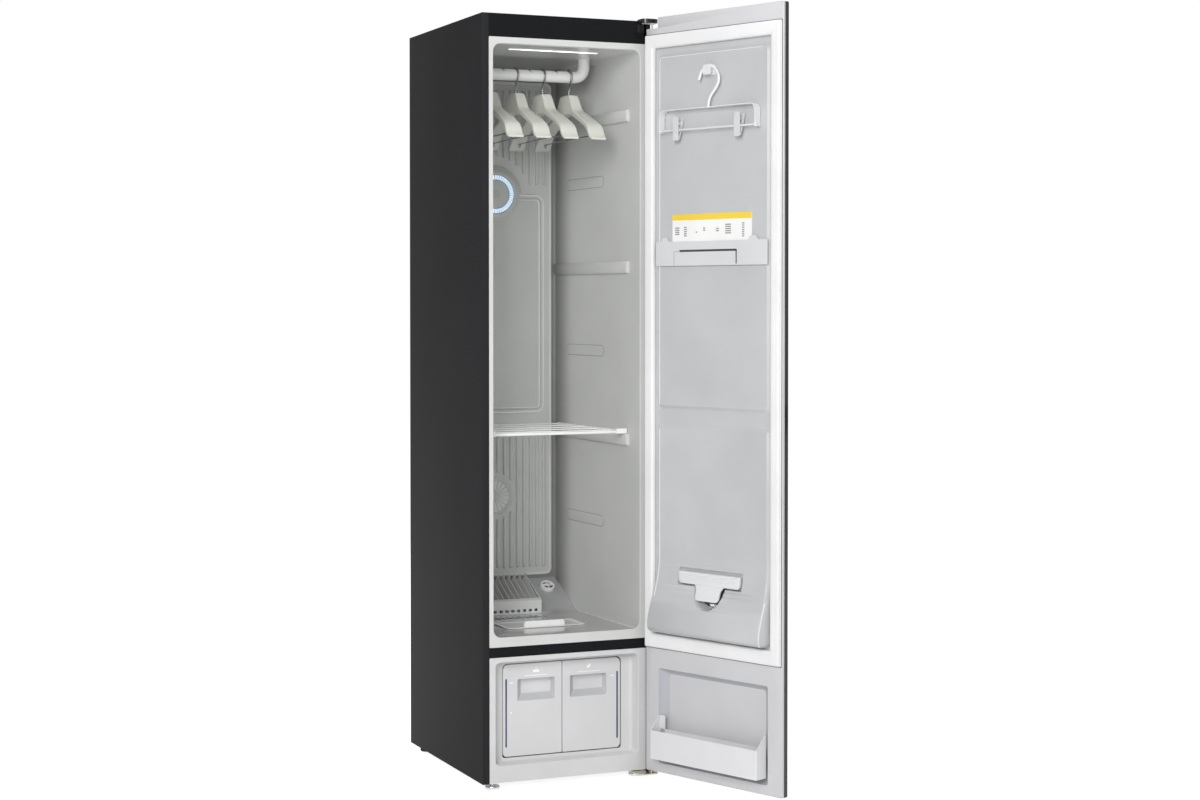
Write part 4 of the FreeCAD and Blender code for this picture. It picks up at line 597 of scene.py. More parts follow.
# The duct cover: ribs above and below, a raised field between them, and a rounded rim.
# The rim and the beads round the field are a lighter plastic than the cover: painted highlights.
rim = inset_rows(-163, 163, 442, 1745, 16,
                 ((0, 507.7), (0, 507), (0.4, 506), (1.8, 504.7), (4.4, 503.9), (7.6, DUCT_Y)))
make("duct_cover_edge_highlight", layers("XZ", rim, True, False), RIM_PALE_AND_HIGHLIGHT, crease=42)
duct = slab("XZ", rounded_box(-155.4, 155.4, 449.6, 1737.4, 8.4, 6), DUCT_Y - 0.01, DUCT_Y,
            [circle(0, INTAKE_Z, 50.3, 48)])
OUTLET_REACH, INTAKE_REACH = 100, 62
RIB_LOW, RIB_HIGH = (465, 811), 1722
RIB_STEPS = ((0, 503.9), (0.5, 499.4), (1.6, 497.8), (3.2, 497.2))
for k in range(16):
    x = (k - 7.5) * 18.4
    ribs = [(OUTLET_Z + sqrt(max(OUTLET_REACH ** 2 - x ** 2, 26 ** 2)), RIB_HIGH)]
    if abs(x) > INTAKE_REACH:
        ribs.append(RIB_LOW)
    else:
        reach = sqrt(INTAKE_REACH ** 2 - x ** 2)
        ribs += [(RIB_LOW[0], INTAKE_Z - reach), (INTAKE_Z + reach, RIB_LOW[1])]
    for low, high in ribs:
        duct.join(layers("XZ", inset_rows(x - 4.5, x + 4.5, low, high, 4.4, RIB_STEPS, 4), False, True))
FIELD = (-140, 140, 872, 1450, 25)
field_steps = ((0, 503.9), (0.8, 500.4), (2.4, 499.2), (9, 499.2), (10.5, 502.6), (12.5, 502.8),
               (13.5, 499.4), (15, 498.6))
duct.join(layers("XZ", inset_rows(*FIELD, field_steps, least=8), False, True))
for name, steps in (
        ("duct_cover_bead_highlights", ((1.4, 499.6), (1.6, 498.4), (3.2, 497.8), (4.8, 498.4), (5, 499.6))),
        ("duct_cover_inner_bead_highlight", ((13.6, 499.6), (13.8, 497.9), (15, 497.3), (16.4, 497.9), (16.6, 499)))):
    make(name, layers("XZ", inset_rows(*FIELD, steps, least=8), False, False), RIM_PALE_AND_HIGHLIGHT,
         crease=42)
make("duct_cover", duct, DUCT, ["rear_duct_cover"], crease=42)

TO_FRONT = turn(pi / 2, "X")
AT_OUTLET = at(0, DUCT_Y, OUTLET_Z) @ TO_FRONT
outlet = spin([(76, 0.2), (76, 1.5), (74.5, 3), (70, 4.6), (66, 7.6), (62, 10.2), (58, 11.8), (54, 12.8),
               (51.4, 12.9), (51.2, 10.2), (36.3, 10.2), (36.1, 12.4), (34.5, 12.9), (20, 12.7),
               (0, 12.6)], 64)
make("outlet_cover", outlet, DUCT, ["steam_outlet_cover"], crease=40, matrix=AT_OUTLET)
ring = spin([(36.5, 10.3), (51, 10.3), (51, 12.4), (50, 12.9), (37.5, 12.9), (36.5, 12.4)], 64, True)
make("outlet_ring_lens", ring, RING_BLUE, ["outlet_light_ring"], crease=40, matrix=AT_OUTLET)
ticks = Shape()
for k in range(44):
    tick = slab("XY", rounded([(38.4, -1.5), (49.6, -2.1), (49.6, 2.1), (38.4, 1.5)], 1.0, 3), 12.7, 13.3)
    ticks.join(tick, turn(TAU * k / 44))
make("outlet_ring_ticks", ticks, RING_WHITE, crease=40, matrix=AT_OUTLET)
dots = Shape()
for reach, count in ((0, 1), (5, 6), (10, 12)):
    for k in range(count):
        angle = TAU * (k + 0.5) / count
        dots.join(spin([(0, 12.9), (1.1, 12.9), (1.1, 12.4), (0, 12.4)], 10),
                  at(reach * cos(angle), reach * sin(angle)))
make("outlet_blue_dots", dots, BLUE_DOT, crease=40, matrix=AT_OUTLET)

grille = spin([(42, 0), (50, 0), (50, 3.4), (48.5, 4), (44, 4), (42, 2.6)], 64, True)
grille.join(spin([(0, 3.2), (6, 3.0), (9, 2.2), (9, 0), (0, 0)], 32))
for k in range(20):
    grille.join(block(8.5, 42.5, -1, 1, 0.3, 2.4), turn(TAU * k / 20))
make("intake_guard", grille, DUCT, ["intake_grille"], bevel=0.25,
     matrix=at(0, REAR_Y, INTAKE_Z) @ TO_FRONT)


def lens_outline(inset):
    bow = [(117, 91.5), (90, 93.6), (50, 94.7), (0, 95), (-50, 94.7), (-90, 93.6), (-117, 91.5), (-90, 89.4),
           (-50, 88.3), (0, 88), (50, 88.3), (90, 89.4)]
    return [(u * (1 - inset / 60), 91.5 + (v - 91.5) * (1 - inset / 4)) for u, v in bow]


lens = layers("XY", [(lens_outline(0), 1778.4), (lens_outline(0), 1777.4), (lens_outline(0.8), 1776.8)])
make("light_strip_lens", lens, LIGHT, ["ceiling_light_lens"], crease=50)
housing = slab("XY", rounded_box(-119, 119, 84, 99, 7.4, 8), 1777.6, 1778.8)
make("light_strip_housing", housing, LINER_RIM, bevel=0.3, crease=50)


# ---- floor fittings ----
def tray_outline(inset, radius):
    return rounded_box(inset - 105, 105 - inset, 135 + inset, 235 - inset, radius, 5)


tray = layers("XY", [(tray_outline(inset, radius), z) for inset, radius, z in (
    (0.5, 8, 361.4), (0, 8, 362.2), (1.4, 7, 363.3), (7, 4, 363.3), (8.5, 3.5, 362.2), (11, 3, 362.0))])
tray.join(slab("XY", rounded_box(-99.7, 99.7, 140.3, 229.7, 5, 4), 335.3, 361.5))
make("filter_tray_body", tray, LOUVRE, ["filter_tray"], "tray", bevel=0.3, crease=40)
tray_edge = slab("XY", tray_outline(0, 8), 362.3, 363.6, [rounded_box(-97, 97, 142, 228, 4, 5)])
make("tray_rim_edge", tray_edge, WHITE, body="tray", bevel=0.4, crease=40)
arch = rounded([(-54, 362), (-54, 376), (54, 376), (54, 362)], [0, 13, 13, 0], 7)
make("tray_handle", slab("XZ", arch, 150, 158), WHITE, body="tray", bevel=1.4, crease=40,
     segments=3)

cheek = rounded([(370, 361.4), (370, 394), (379, 400), (474, 444), (482, 419.6), (474, 415.4), (400, 374.3),
                 (386, 366.5)], [2, 4, 3, 3, 0, 0, 0, 0], 3)
louvre = slab("YZ", cheek, 76.5, 80)
louvre.join(slab("YZ", cheek, -80, -76.5))
front_lip = slab("XZ", rounded_box(-79.5, 79.5, 361.4, 395, 3, 3), 369.9, 372.5,
                 [rounded_box(x - 4.5, x + 4.5, 366, 373, 2, 3) for x in SLOT_XS])
make("louvre_front_lip", front_lip, RIM_PALE_AND_HIGHLIGHT, bevel=0.4)
louvre.join(slab("YZ", [(372, 391.8), (379, 397), (379, 400), (372, 394)], -79, 79))
for k in range(10):
    blade = slab("YZ", [(373, 367), (373, 390), (380, 396), (462, 438), (476, 455), (477, 424), (398, 377)],
                 -0.9, 0.9)
    blade.points = [(x + 0.42 * (z - 366 - 0.54 * max(y - 384, 0)), y, z) for x, y, z in blade.points]
    louvre.join(blade, at(-76 + 15.2 * k, 0))
make("louvre_hood", louvre, LOUVRE, ["filter_louvre"], bevel=0.4)
# A dark sheet under the louvre's blades: painted shade.
inside = slab("YZ", [(384, 366.6), (400, 375.6), (470, 414.4), (468, 418), (396, 378)], -76, 76)
make("louvre_inside_shade", inside, CAVITY_SHADE)

RAMP_TILT = radians(29.2)
ON_RAMP = at(135, 470, FLOOR_Z + 88 * tan(RAMP_TILT) + 0.4) @ turn(RAMP_TILT, "X")
cap = spin([(0, 7), (14, 7), (14.6, 11), (17.6, 11.6), (19, 10.6), (19.5, 8.5), (19.5, 0), (0, 0)], 40)
cap.join(slab("XY", rounded_box(-14.3, 14.3, -2.4, 2.4, 2.3, 4), 6.9, 13))
cap.join(slab("XY", rounded_box(-1.2, 1.2, -14.3, 14.3, 1.1, 4), 6.9, 11))
make("scent_cap", cap, WHITE, ["aroma_cap"], "cap", bevel=0.5, matrix=ON_RAMP)
cap_well = spin([(0, 7.6), (13.9, 7.6), (13.9, 7), (0, 7)], 32)
make("scent_cap_well", cap_well, BLACK_ENAMEL_AND_SHADE, body="cap", matrix=ON_RAMP)

# ---- hanger bar and hangers ----
BAR_Y, BAR_Z, POST_X, BEND = 235, 1732, 141, 26
bar_path = [(-POST_X, BAR_Y, z) for z in (1796, CEILING_Z, BAR_Z + BEND)]
for step in range(1, 9):
    angle = pi / 2 * step / 8
    bar_path.append((BEND - POST_X - BEND * cos(angle), BAR_Y, BAR_Z + BEND - BEND * sin(angle)))
bar_path += [(x, BAR_Y, BAR_Z) for x in range(-112, 114, 2)]
for step in range(9):
    angle = pi / 2 * (1 - step / 8)
    bar_path.append((POST_X - BEND + BEND * cos(angle), BAR_Y, BAR_Z + BEND - BEND * sin(angle)))
bar_path += [(POST_X, BAR_Y, CEILING_Z), (POST_X, BAR_Y, 1796)]
bar = tube(bar_path, 14.7, 32)
for index, (x, y, z) in enumerate(bar.points):
    if abs(x) < 113 and z > BAR_Z + 5:
        for notch in range(HANGER_X[0], HANGER_X[-1] + 1, 36):
            depth = 4.6 - abs(x - notch) * 1.15
            if depth > 0:
                bar.points[index] = (x, y, z - depth * min((z - BAR_Z - 5) / 6, 1))
for side in BOTH:
    bar.join(spin([(14.6, -1.2), (15.3, -0.8), (15.3, 0.8), (14.6, 1.2)], 32), at(side * POST_X, BAR_Y, 1777))
make("hanger_rail_bar", bar, WHITE, ["hanger_bar"], "bar", crease=50)

# Each ring of a hanger's arm: distance from the neck's middle, top, underside and half width.
ARM = [(0, -47, -95, 13), (12, -47, -95.5, 13), (23, -47, -96, 13), (26.5, -47.6, -96.4, 13),
       (29, -49.6, -97, 13), (33.5, -55, -98, 13.1), (38, -61, -99, 13.4), (46, -73.5, -101, 14),
       (51, -80.6, -102.3, 14.3), (55.5, -85, -103.4, 14.6), (62, -88.8, -105.4, 15),
       (73, -93.5, -109.2, 15.4), (88, -99.5, -115, 16), (104, -106, -121, 16.6), (120, -112.5, -127, 17.4),
       (134, -118.5, -133, 18.2), (146, -124, -138.5, 19), (154, -128, -143, 19.6), (161, -132.4, -149, 20.2),
       (167, -138, -156, 20.8), (171, -143, -160.5, 21), (175, -149.5, -164.5, 21), (180, -157, -168, 20.6),
       (186, -162, -169.8, 20.2), (189.5, -164.6, -169.6, 19.4)]
rings = []
for reach, top, under, half in [(-r, t, u, h) for r, t, u, h in reversed(ARM)] + ARM[1:]:
    sag = 6 * max(reach, 0) / 190
    rings.append((rounded_box(-half, half, under - sag, top - sag, min(3.4, (top - under) * 0.4), 4), reach))
hanger = layers("XZ", rings)
for inner, outer in (((-90, -100.1), (-126, -115.1)), ((90, -103.1), (126, -119.1))):
    hanger.join(tube([(0, *inner), (0, *outer)], 1.4, 8))
hook = [(0, 17.8 * cos(radians(a)), 17.8 * sin(radians(a))) for a in range(42, 228, 15)]
hook += [(0, -6.4, -20.4), (0, -1.6, -28), (0, 0, -36), (0, 0, -48)]
wire = tube(smooth_path(hook, 3), 2.6, 10)
wire.join(spin([(0, 2.4), (1.6, 2.0), (2.4, 0), (1.6, -2.0), (0, -2.4)], 12), at(*hook[0]))
wire.join(spin([(0, -36.4), (2.6, -37.2), (4.2, -39.6), (4.6, -42), (4.0, -44.6), (5.6, -45.4), (5.6, -47.2),
                (0, -47.2)], 20))
rod = tube([(0, -174, -157), (0, -90, -157), (0, 0, -157), (0, 90, -158), (0, 174, -160)], 1.7, 10)
for side in BOTH:
    eye = [(0, side * 158 + 5 * cos(TAU * k / 14), -163 + 5 * sin(TAU * k / 14)) for k in range(14)]
    rod.join(tube(eye, 1.2, 8, True))
for index, x in enumerate(HANGER_X, 1):
    name = "hanger_%d" % index
    for part, shape, material, slot, replaced in (
            ("_moulding", hanger, CREAM, "hanger_plastic", [name]),
            ("_hook", wire, HOOK_STEEL, "chrome_wire", []),
            ("_crossbar", rod, HOOK_STEEL, "chrome_wire", [name + "_wire"])):
        make(name + part, shape, material, replaced, name + "_body", crease=50,
             matrix=at(x, BAR_Y, BAR_Z))

# ---- shelf ----
SHELF_Z, SHELF_LOW = 844.3, 840.3
shelf = Shape()
for k in range(6):
    y = 74 + 80 * k
    half = wall_x(y) - 4.6
    shelf.join(tube([(-half, y, SHELF_Z), (0, y, SHELF_Z), (half, y, SHELF_Z)], 3.8 if k == 0 else 1.7, 12))
front_x, rear_x = wall_x(74), wall_x(474)
for side in BOTH:
    strip = [(side * (front_x - 9), 70.2), (side * (front_x - 2), 70.2), (side * (rear_x - 2), 477.8),
             (side * (rear_x - 9), 477.8)]
    shelf.join(slab("XY", rounded(strip, 2, 3), SHELF_LOW, 848.3))
for side in BOTH:
    shelf.join(slab("XY", rounded_box(*span(side, front_x - 30, front_x - 2), 67, 82, 2, 3), SHELF_LOW, 853))
make("wire_shelf_rods", shelf, ROD, ["wire_shelf"], "shelf", bevel=0.8, crease=40)

# ---- lower front and tanks ----
face = rounded_box(-STRIP_HALF, FACE_RIGHT, 17, 317, 2.5, 4)
face_hole = rounded_box(-187.2, 187.2, 56.8, 306.2, 13.2, 8)
front = slab("XZ", face, 1.2, 3, [face_hole])
front.join(slab("XZ", face, 0.01, 1.2, [face_hole]))
mouth = rolled_edge(186, 58, 305, 12, 1.2)
mouth += [(rounded_box(i - 186, 186 - i, 58 + i, 305 - i, radius, 8), y)
          for i, radius, y in ((1, 11, 24), (2, 10, 31), (5, 9, 35), (9, 8, 36))]
front.join(layers("XZ", mouth, False, False))
tank_hole = rounded(box_outline(-156.2, 156.2, 67.8, 294.8), [7, 7, 13.5, 13.5], 8)
front.join(slab("XZ", mouth[-1][0], 35.99, 38.5, [tank_hole]))
make("lower_fascia", front, FRAME, ["lower_front_frame"], crease=40)
gap = slab("XZ", rounded_box(-160, 160, 66, 298, 14, 8), 38.7, 39.3,
           [rounded(box_outline(-156, 156, 67.6, 294.6), [6, 6, 12, 12], 8)])
make("tank_gap_shadow", gap, CAVITY_SHADE)

TANK_Y = 36.05
GRIP_LOW, GRIP_HIGH = 203, 256
for name, side in (("drain", -1), ("supply", 1)):
    low_x, high_x = span(side, 0.6, 154.6)
    radii = [2, 10, 13, 2] if side > 0 else [10, 2, 2, 13]
    outer = rounded(box_outline(low_x + 0.3, high_x - 0.6, 69.8, 292.8), radii, 6)
    eased = rounded(box_outline(low_x + 1.0, high_x - 1.3, 70.5, 292.1), radii, 6)
    grip_x0, grip_x1 = span(side, 20, 117)
    grip = rounded_box(grip_x0, grip_x1, GRIP_LOW, GRIP_HIGH, 3, 4)
    window_x0, window_x1 = span(side, 143.2, 148.8)
    window = rounded_box(window_x0, window_x1, 92, 259, 2.6, 4)
    glazing = rounded_box(window_x0 + 0.9, window_x1 - 0.9, 93, 258, 1.8, 4)
    sunk = rounded_box(window_x0 + 1.5, window_x1 - 1.5, 93.6, 257.4, 1.2, 4)
    skin = layers("XZ", [(outer, 60), (outer, 37), (eased, TANK_Y)], True, False)
    skin.join(slab("XZ", eased, TANK_Y, TANK_Y + 0.01, [grip, window]))
    well_rows = [(rounded_box(grip_x0 + i * 1.3, grip_x1 - i * 0.3, GRIP_LOW + i * 1.2, GRIP_HIGH - i * 0.35,
                              max(3 - i * 0.05, 1.5), 4), y)
                 for i, y in ((0, TANK_Y), (1.0, 37.2), (2.0, 39), (9, 52), (12, 55), (14, 55.6))]
    skin.join(layers("XZ", well_rows[4:], False, True))
    prints = [rounded_box(side * 68.5 - 30, side * 68.5 + 30, 262.2, 263.8, 0.7, 2),
              rounded_box(side * 133 - 5, side * 133 + 5, 247, 249.4, 0.7, 2)]
    if side < 0:
        prints += [rounded_box(-135, -131, 174, 178, 1.6, 3),
                   rounded([(-78, 276.5), (-59, 276.5), (-61.5, 270), (-75.5, 270)], 1.6, 3),
                   circle(-68.5, 280.5, 1.8, 12)]
    else:
        prints.append(rounded([(61, 271), (73, 272), (76, 283), (68, 279)], [3, 3, 1, 3], 4))
    marks = Shape()
    for outline in prints:
        marks.join(slab("XZ", outline, TANK_Y - 0.1, TANK_Y + 0.05))
    # The walls of the grip's hollow are a darker copy of the tank's plastic: painted shade.
    make(name + "_grip_wall_shade", layers("XZ", well_rows[:5], False, False), GRIP_WALL_SHADE,
         body=name, crease=40)
    make(name + "_tank_fascia", skin, TANK, [name + "_tank_front"], name, crease=40)
    make(name + "_level_border", slab("XZ", window, 36.1, 38.4, [glazing]), SLIT_EDGE, body=name)
    make(name + "_level_window", layers("XZ", [(glazing, 38.4), (glazing, 36.6), (sunk, 36.3)]), SLIT,
         body=name)
    make(name + "_front_marks", marks, PRINT, body=name)

# ---- pieces shown as the CAD made them ----
for node, material in (("tank_bay", BAY), ("drain_tank", SMOKE), ("supply_tank", SMOKE), ("compressor", PUMP),
                       ("steam_generator", ALLOY), ("heat_exchanger", ALLOY), ("blower_housing", GREY),
                       ("blower_wheel", GREY), ("steam_hose", HOSE), ("bar_carriage", GREY),
                       ("bar_guide_rods", ZINC), ("bar_drive_motor", GREY)):
    dress(node, material)

# ---- hinges ----
AT_PIN = at(*HINGE)
upper = slab("XY", rounded(box_outline(183, 226, -34, 0), [15, 11, 1, 1], 8), 1842.6, 1852.6)
upper.join(slab("XZ", rounded_box(185, 201.5, 1822, 1850, 2, 3), -1.2, 0))
make("hinge_top_plate", upper, BLACK_ENAMEL_AND_SHADE, ["hinge_top_bracket"], bevel=0.5)
bush = slab("XY", rounded(box_outline(189, 214, -27, -7), [10, 10, 8, 8], 8), 1841.8, 1843.5)
bush.join(spin([(2.5, 1840.6), (5.6, 1840.6), (6.4, 1841.4), (6.4, 1846.5), (2.5, 1846.5)], 32, True), AT_PIN)
bush.join(spin([(0, 1817), (1.7, 1817), (2.5, 1818), (2.5, 1846.5), (0, 1846.5)], 24), AT_PIN)
make("hinge_top_bush", bush, RACK, bevel=0.5)

lower = slab("XY", rounded(box_outline(168, 223, -44, 42), [18, 9, 1, 1], 8), 12.5, 16)
lower.join(slab("XY", rounded_box(172, 212, 28, 42, 1, 3), 16, 18))
lower.join(spin([(2.5, 16), (7, 16), (7, 19.4), (6, 20.5), (2.5, 20.5)], 32, True), AT_PIN)
lower.join(spin([(0, 16), (2.5, 16), (2.5, 31.4), (1.6, 32.5), (0, 32.5)], 24), AT_PIN)
make("hinge_bottom_plate", lower, BRASSY, ["hinge_bottom_bracket"], bevel=0.5)


# ---- door ----
def door_outline(inset):
    right, top, notch = HALF - inset, 1853.5 - inset, 1827.5 - inset
    corners = [(-right, 22 + inset), (right, 22 + inset), (right, notch), (181 - inset, notch),
               (181 - inset, top), (-right, top)]
    return rounded(corners, [3, 3, 2, 2, 2, 3], 4)


# The door's planes: the glass shell's front and back, the inner frame's back and its face under the seal.
GLASS_FRONT, GLASS_BACK, FRAME_BACK, FRAME_Y = -31, -18.1, -17.9, -11
PAN_HALF, PAN_LOW, PAN_HIGH = 175.5, 45.5, 276.5
pan_back = rounded_box(-174.6, 174.6, 46.2, 275.8, 6, 6)
shell = layers("XZ", [(door_outline(0), GLASS_BACK), (door_outline(0), GLASS_FRONT + 0.8),
                      (door_outline(0.8), GLASS_FRONT)], False, True)
shell.join(slab("XZ", door_outline(0), GLASS_BACK - 0.1, GLASS_BACK, [pan_back]))
make("door_glass_front", shell, GLASS, ["door_outer_panel"], "door", crease=40)

well = rounded_box(-189.2, 189.2, 360.8, 1779.2, 6, 5)
pan_mouth = rounded_box(-PAN_HALF, PAN_HALF, PAN_LOW, PAN_HIGH, 6, 6)
door_frame = layers("XZ", [(door_outline(0), FRAME_BACK), (door_outline(0), FRAME_Y - 1.2),
                           (door_outline(1.6), FRAME_Y)], False, False)
door_frame.join(slab("XZ", door_outline(1.6), FRAME_Y - 0.001, FRAME_Y, [well, pan_mouth]))
door_frame.join(slab("XZ", door_outline(0), FRAME_BACK, FRAME_BACK + 0.1, [well, pan_back]))
door_frame.join(layers("XZ", [(well, FRAME_BACK + 0.1), (well, FRAME_Y)], False, False))
pan_steps = ((0, FRAME_Y, 6), (0.4, -11.8, 6), (1, -13.4, 6), (17, -27.4, 8), (20, -28.4, 9), (24, -28.6, 10))
pan_rows = [(rounded_box(i - PAN_HALF, PAN_HALF - i, PAN_LOW + i * 0.7, PAN_HIGH - i * 0.7, radius, 6), y)
            for i, y, radius in pan_steps]
door_frame.join(layers("XZ", pan_rows[-2:], False, True))
# The pan's sloping walls are a darker copy of the frame's plastic: painted shade.
make("door_pan_wall_shade", layers("XZ", pan_rows[:-1], False, False), PAN_WALL_SHADE, body="door",
     crease=40)
for side in BOTH:
    door_frame.join(slab("XZ", rounded_box(*span(side, 96, 124), 84, 108, 3, 3), -24, -11.2))
make("door_inner_casing", door_frame, DOOR_FRAME, ["door_inner_frame"], "door", crease=40)

# The liner: a rim that meets the seal, an upper raised field, and a lower one that swells into the drip
# wedge and is hollowed for the clip lever.
LINER_BACK, BAY_BACK, FIELD_HALF = -14, -13, 183
ROLL = [(0, 0), (0.08, -0.08), (0.3, 0.12), (0.64, 0.76), (0.8, 1.06), (0.88, 1.1), (0.97, 1.02), (1, 1)]
WEDGE = [(366, -14), (366.6, 2), (368, 13), (370, 19.4), (372.5, 24), (376, 27), (380, 28.4), (385, 29),
         (391, 28.8), (400, 27.7), (415, 24), (440, 15.6), (470, 5.6), (500, -2.6), (530, -7.4), (560, -9),
         (700, -9), (858, -9)]
WEDGE = [(point.x, point.y) for point in smooth_path([(z, y, 0) for z, y in WEDGE], 5)]
WEDGE += [(861, -9.8), (865, -11.5), (869, -13.4), (872, -14)]


def lower_edge(z):
    """Half the width of the lower field: full, and rounded in at the wedge's bottom corners."""
    short = min(max((380 - z) / 14, 0), 1)
    return FIELD_HALF - 14 * (1 - sqrt(1 - short * short))


def lower_depth(x, z):
    """The y of the lower field's skin."""
    inset = lower_edge(z) - abs(x)
    swell = smoothstep((585 - z) / 150)
    share = min(inset / (14 - 7 * swell), 1)
    roll = between(ROLL, share) * (1 - swell) + sqrt(max(1 - (1 - share) ** 2, 0)) * swell
    depth = LINER_BACK + (between(WEDGE, z) - LINER_BACK) * roll
    if abs(x) < 101.5 and 489 < z < 529.5:
        depth = BAY_BACK
    dish = hypot(x / 51, (z - 500) / 64)
    if z <= 500 and dish < 1:
        depth += (BAY_BACK - depth) * smoothstep((1 - dish) / 0.07)
    return depth


half_columns = [3 * k for k in range(19)] + [60, 70, 80, 90, 97, 101, 102.2, 106, 120, 140, 155]
half_columns += [FIELD_HALF - i for i in (24, 18, 14, 13.4, 12.3, 11.2, 9, 7, 5.4, 4.2, 3, 2, 1.1, 0.4, 0)]
columns = [-x / FIELD_HALF for x in reversed(half_columns[1:])] + [x / FIELD_HALF for x in half_columns]
heights = [366, 366.6, 368, 370, 372.5, 376, 380, 385, 391, 398, 406] + list(range(412, 488, 4))
heights += [488.5, 489.5, 494, 500, 510, 520, 528.8, 530, 536, 545, 560, 580, 640, 720, 800, 850, 858, 861,
            865, 869, 872]
lower_field = surface([[(x, lower_depth(x, z), z) for x in [share * lower_edge(z) for share in columns]]
                       for z in heights])

UPPER_LOW, UPPER_HIGH = 905, 1766
upper_hole = rounded_box(-FIELD_HALF, FIELD_HALF, UPPER_LOW, UPPER_HIGH, 16, 8)
lower_hole = [(-169, 366), (169, 366), (176, 368), (183, 380), (183, 872), (-183, 872), (-183, 380),
              (-176, 368)]
door_liner = slab("XZ", rounded_box(-189, 189, 361, 1779, 6, 5), -17, LINER_BACK, [upper_hole, lower_hole])
rise = ((0, -14), (1.1, -14.4), (4.2, -13.4), (9, -10.2), (11.2, -8.7), (12.3, -8.5), (13.6, -8.9), (15, -9))
door_liner.join(layers("XZ", [(rounded_box(i - FIELD_HALF, FIELD_HALF - i, UPPER_LOW + i, UPPER_HIGH - i,
                                           max(16 - i * 0.3, 8), 8), y) for i, y in rise], False, True))
door_liner.join(lower_field)
make("door_liner_panel", door_liner, DOOR_LINER, ["door_liner"], "door", crease=40)

# Thin bright tubes along the door liner's crests: painted highlights.
crest_highlights = Shape()
for side, inset, low, high in ((1, 12.3, 455, 860), (-1, 4.5, 370, 470)):
    path = []
    for step in range(41):
        z = low + (high - low) * step / 40
        x = side * (lower_edge(z) - inset)
        path.append((x, lower_depth(x, z) - 0.2, z))
    crest_highlights.join(tube(path, 1.1, 8))
upper_crest_highlight = [(171, -8.7, z) for z in (918, 1200, 1500, 1744)]
upper_crest_highlight += [(163 + 8 * cos(a), -8.7, 1746 + 8 * sin(a)) for a in (0.2, 0.6, 1.0, 1.4)]
upper_crest_highlight += [(x, -8.9, 1754.2) for x in (160, 60, -60, -160)]
crest_highlights.join(tube(upper_crest_highlight, 1.0, 8))
make("door_liner_crest_highlight", crest_highlights, CREST_HIGHLIGHT, body="door", crease=40)
# A dark sheet in the lever's bay: painted shade.
hollow = [(47 * cos(a), 500 + 59 * sin(a)) for a in [pi + pi * k / 24 for k in range(25)]]
make("lever_bay_shade", slab("XZ", hollow, -12.95, -12.5), CAVITY_SHADE, body="door")

SEAL_HALF, SEAL_LOW, SEAL_HIGH = 216, 326, 1811
# A dark ring in the seal's channel: painted shade.
groove = slab("XZ", rounded_box(-217.3, 217.3, 324.1, 1812.9, 3, 4), -11.6, -10.4,
              [rounded_box(-SEAL_HALF, SEAL_HALF, SEAL_LOW, SEAL_HIGH, 3, 4)])
make("seal_channel_shade", groove, CAVITY_SHADE, body="door")
seal_rows = []
for inset, y in ((0, -11), (0, -8), (1, -7), (0.6, -6), (0.6, -3.2), (2.5, -1.4), (5, -1.0), (12, -1.6),
                 (16, -1.2), (23, -1.1), (26.5, -2.2), (27.6, -5), (27.8, -10.9)):
    seal_rows.append((rounded_box(inset - SEAL_HALF, SEAL_HALF - inset, SEAL_LOW + inset * 36 / 28.5,
                                  SEAL_HIGH - inset * 34 / 28.5, 3 + inset * 0.1, 4), y))
make("door_seal", layers("XZ", seal_rows, False, False), GASKET, ["door_gasket"], "door", crease=60)

basket = Shape()
tub = rounded_box(-171, 171, -10.7, 25, [1, 1, 4, 4], 5)
tub_inside = rounded_box(-168.8, 168.8, -8.5, 22.8, [1, 1, 3, 3], 5)
basket.join(layers("XY", [(tub, 62), (tub, 131), (tub_inside, 131), (tub_inside, 65)]))
cheek = rounded([(-10.7, 130), (22.8, 130), (-6.3, 162), (-10.7, 162)], [0, 0.5, 2, 1], 3)
for side in BOTH:
    basket.join(slab("YZ", cheek, *span(side, 168.8, 171)))
basket.join(slab("XZ", rounded_box(152, 171, 100, 163, 2, 3), -10.7, -8.5))
make("door_basket_tub", basket, BASKET, ["door_basket"], "basket", bevel=0.7, crease=40)

peg_plate = rounded_box(-12, 12, 1700, 1724, 5, 5)
peg = slab("XZ", peg_plate, -9, -6)
peg.join(spin([(0, -6.5), (7, -6.5), (7, 7.6), (0, 7.6)], 32), at(0, 0, 1712) @ turn(-pi / 2, "X"))
peg.join(slab("XZ", peg_plate, 7.5, 10.5))
make("door_hook_peg", peg, CLIP, ["door_hook"], "door", bevel=0.7)

rack_front = rounded([(-178, 1252), (178, 1252), (178, 1310), (161, 1310), (157, 1320), (143, 1320),
                      (138, 1310), (-119, 1310), (-124, 1320), (-142, 1320), (-149, 1310), (-178, 1310)],
                     [2, 2, 3, 3, 4, 4, 3, 3, 4, 4, 3, 3], 4)
rack_slot = rounded([(-84, 1255), (-79, 1255), (-79, 1285), (102, 1285), (102, 1290), (-84, 1290)],
                    [1, 1, 2, 1, 1, 3], 3)
rack = slab("XZ", rack_front, -6.5, -3.5, [rack_slot])
for side in BOTH:
    rack.join(slab("XZ", rounded_box(*span(side, 142, 168), 1257, 1310, 2, 3), -9, -6.4))
make("pocket_rack", rack, RACK, ["pocket_bracket"], "door", bevel=0.8, segments=3)
# A dark sheet behind the rack's slot: painted shade.
slot_back = slab("XZ", box_outline(-90, 108, 1252.6, 1296), -7.2, -6.9)
make("rack_slot_shade", slot_back, CAVITY_SHADE, body="door")
flap_line = slab("XZ", box_outline(117.5, 118.7, 1253, 1286.4), -3.53, -3.4)
flap_line.join(slab("XZ", box_outline(102, 118.7, 1285.3, 1286.4), -3.53, -3.4))
make("rack_flap_line", flap_line, CARD_INK, body="door")

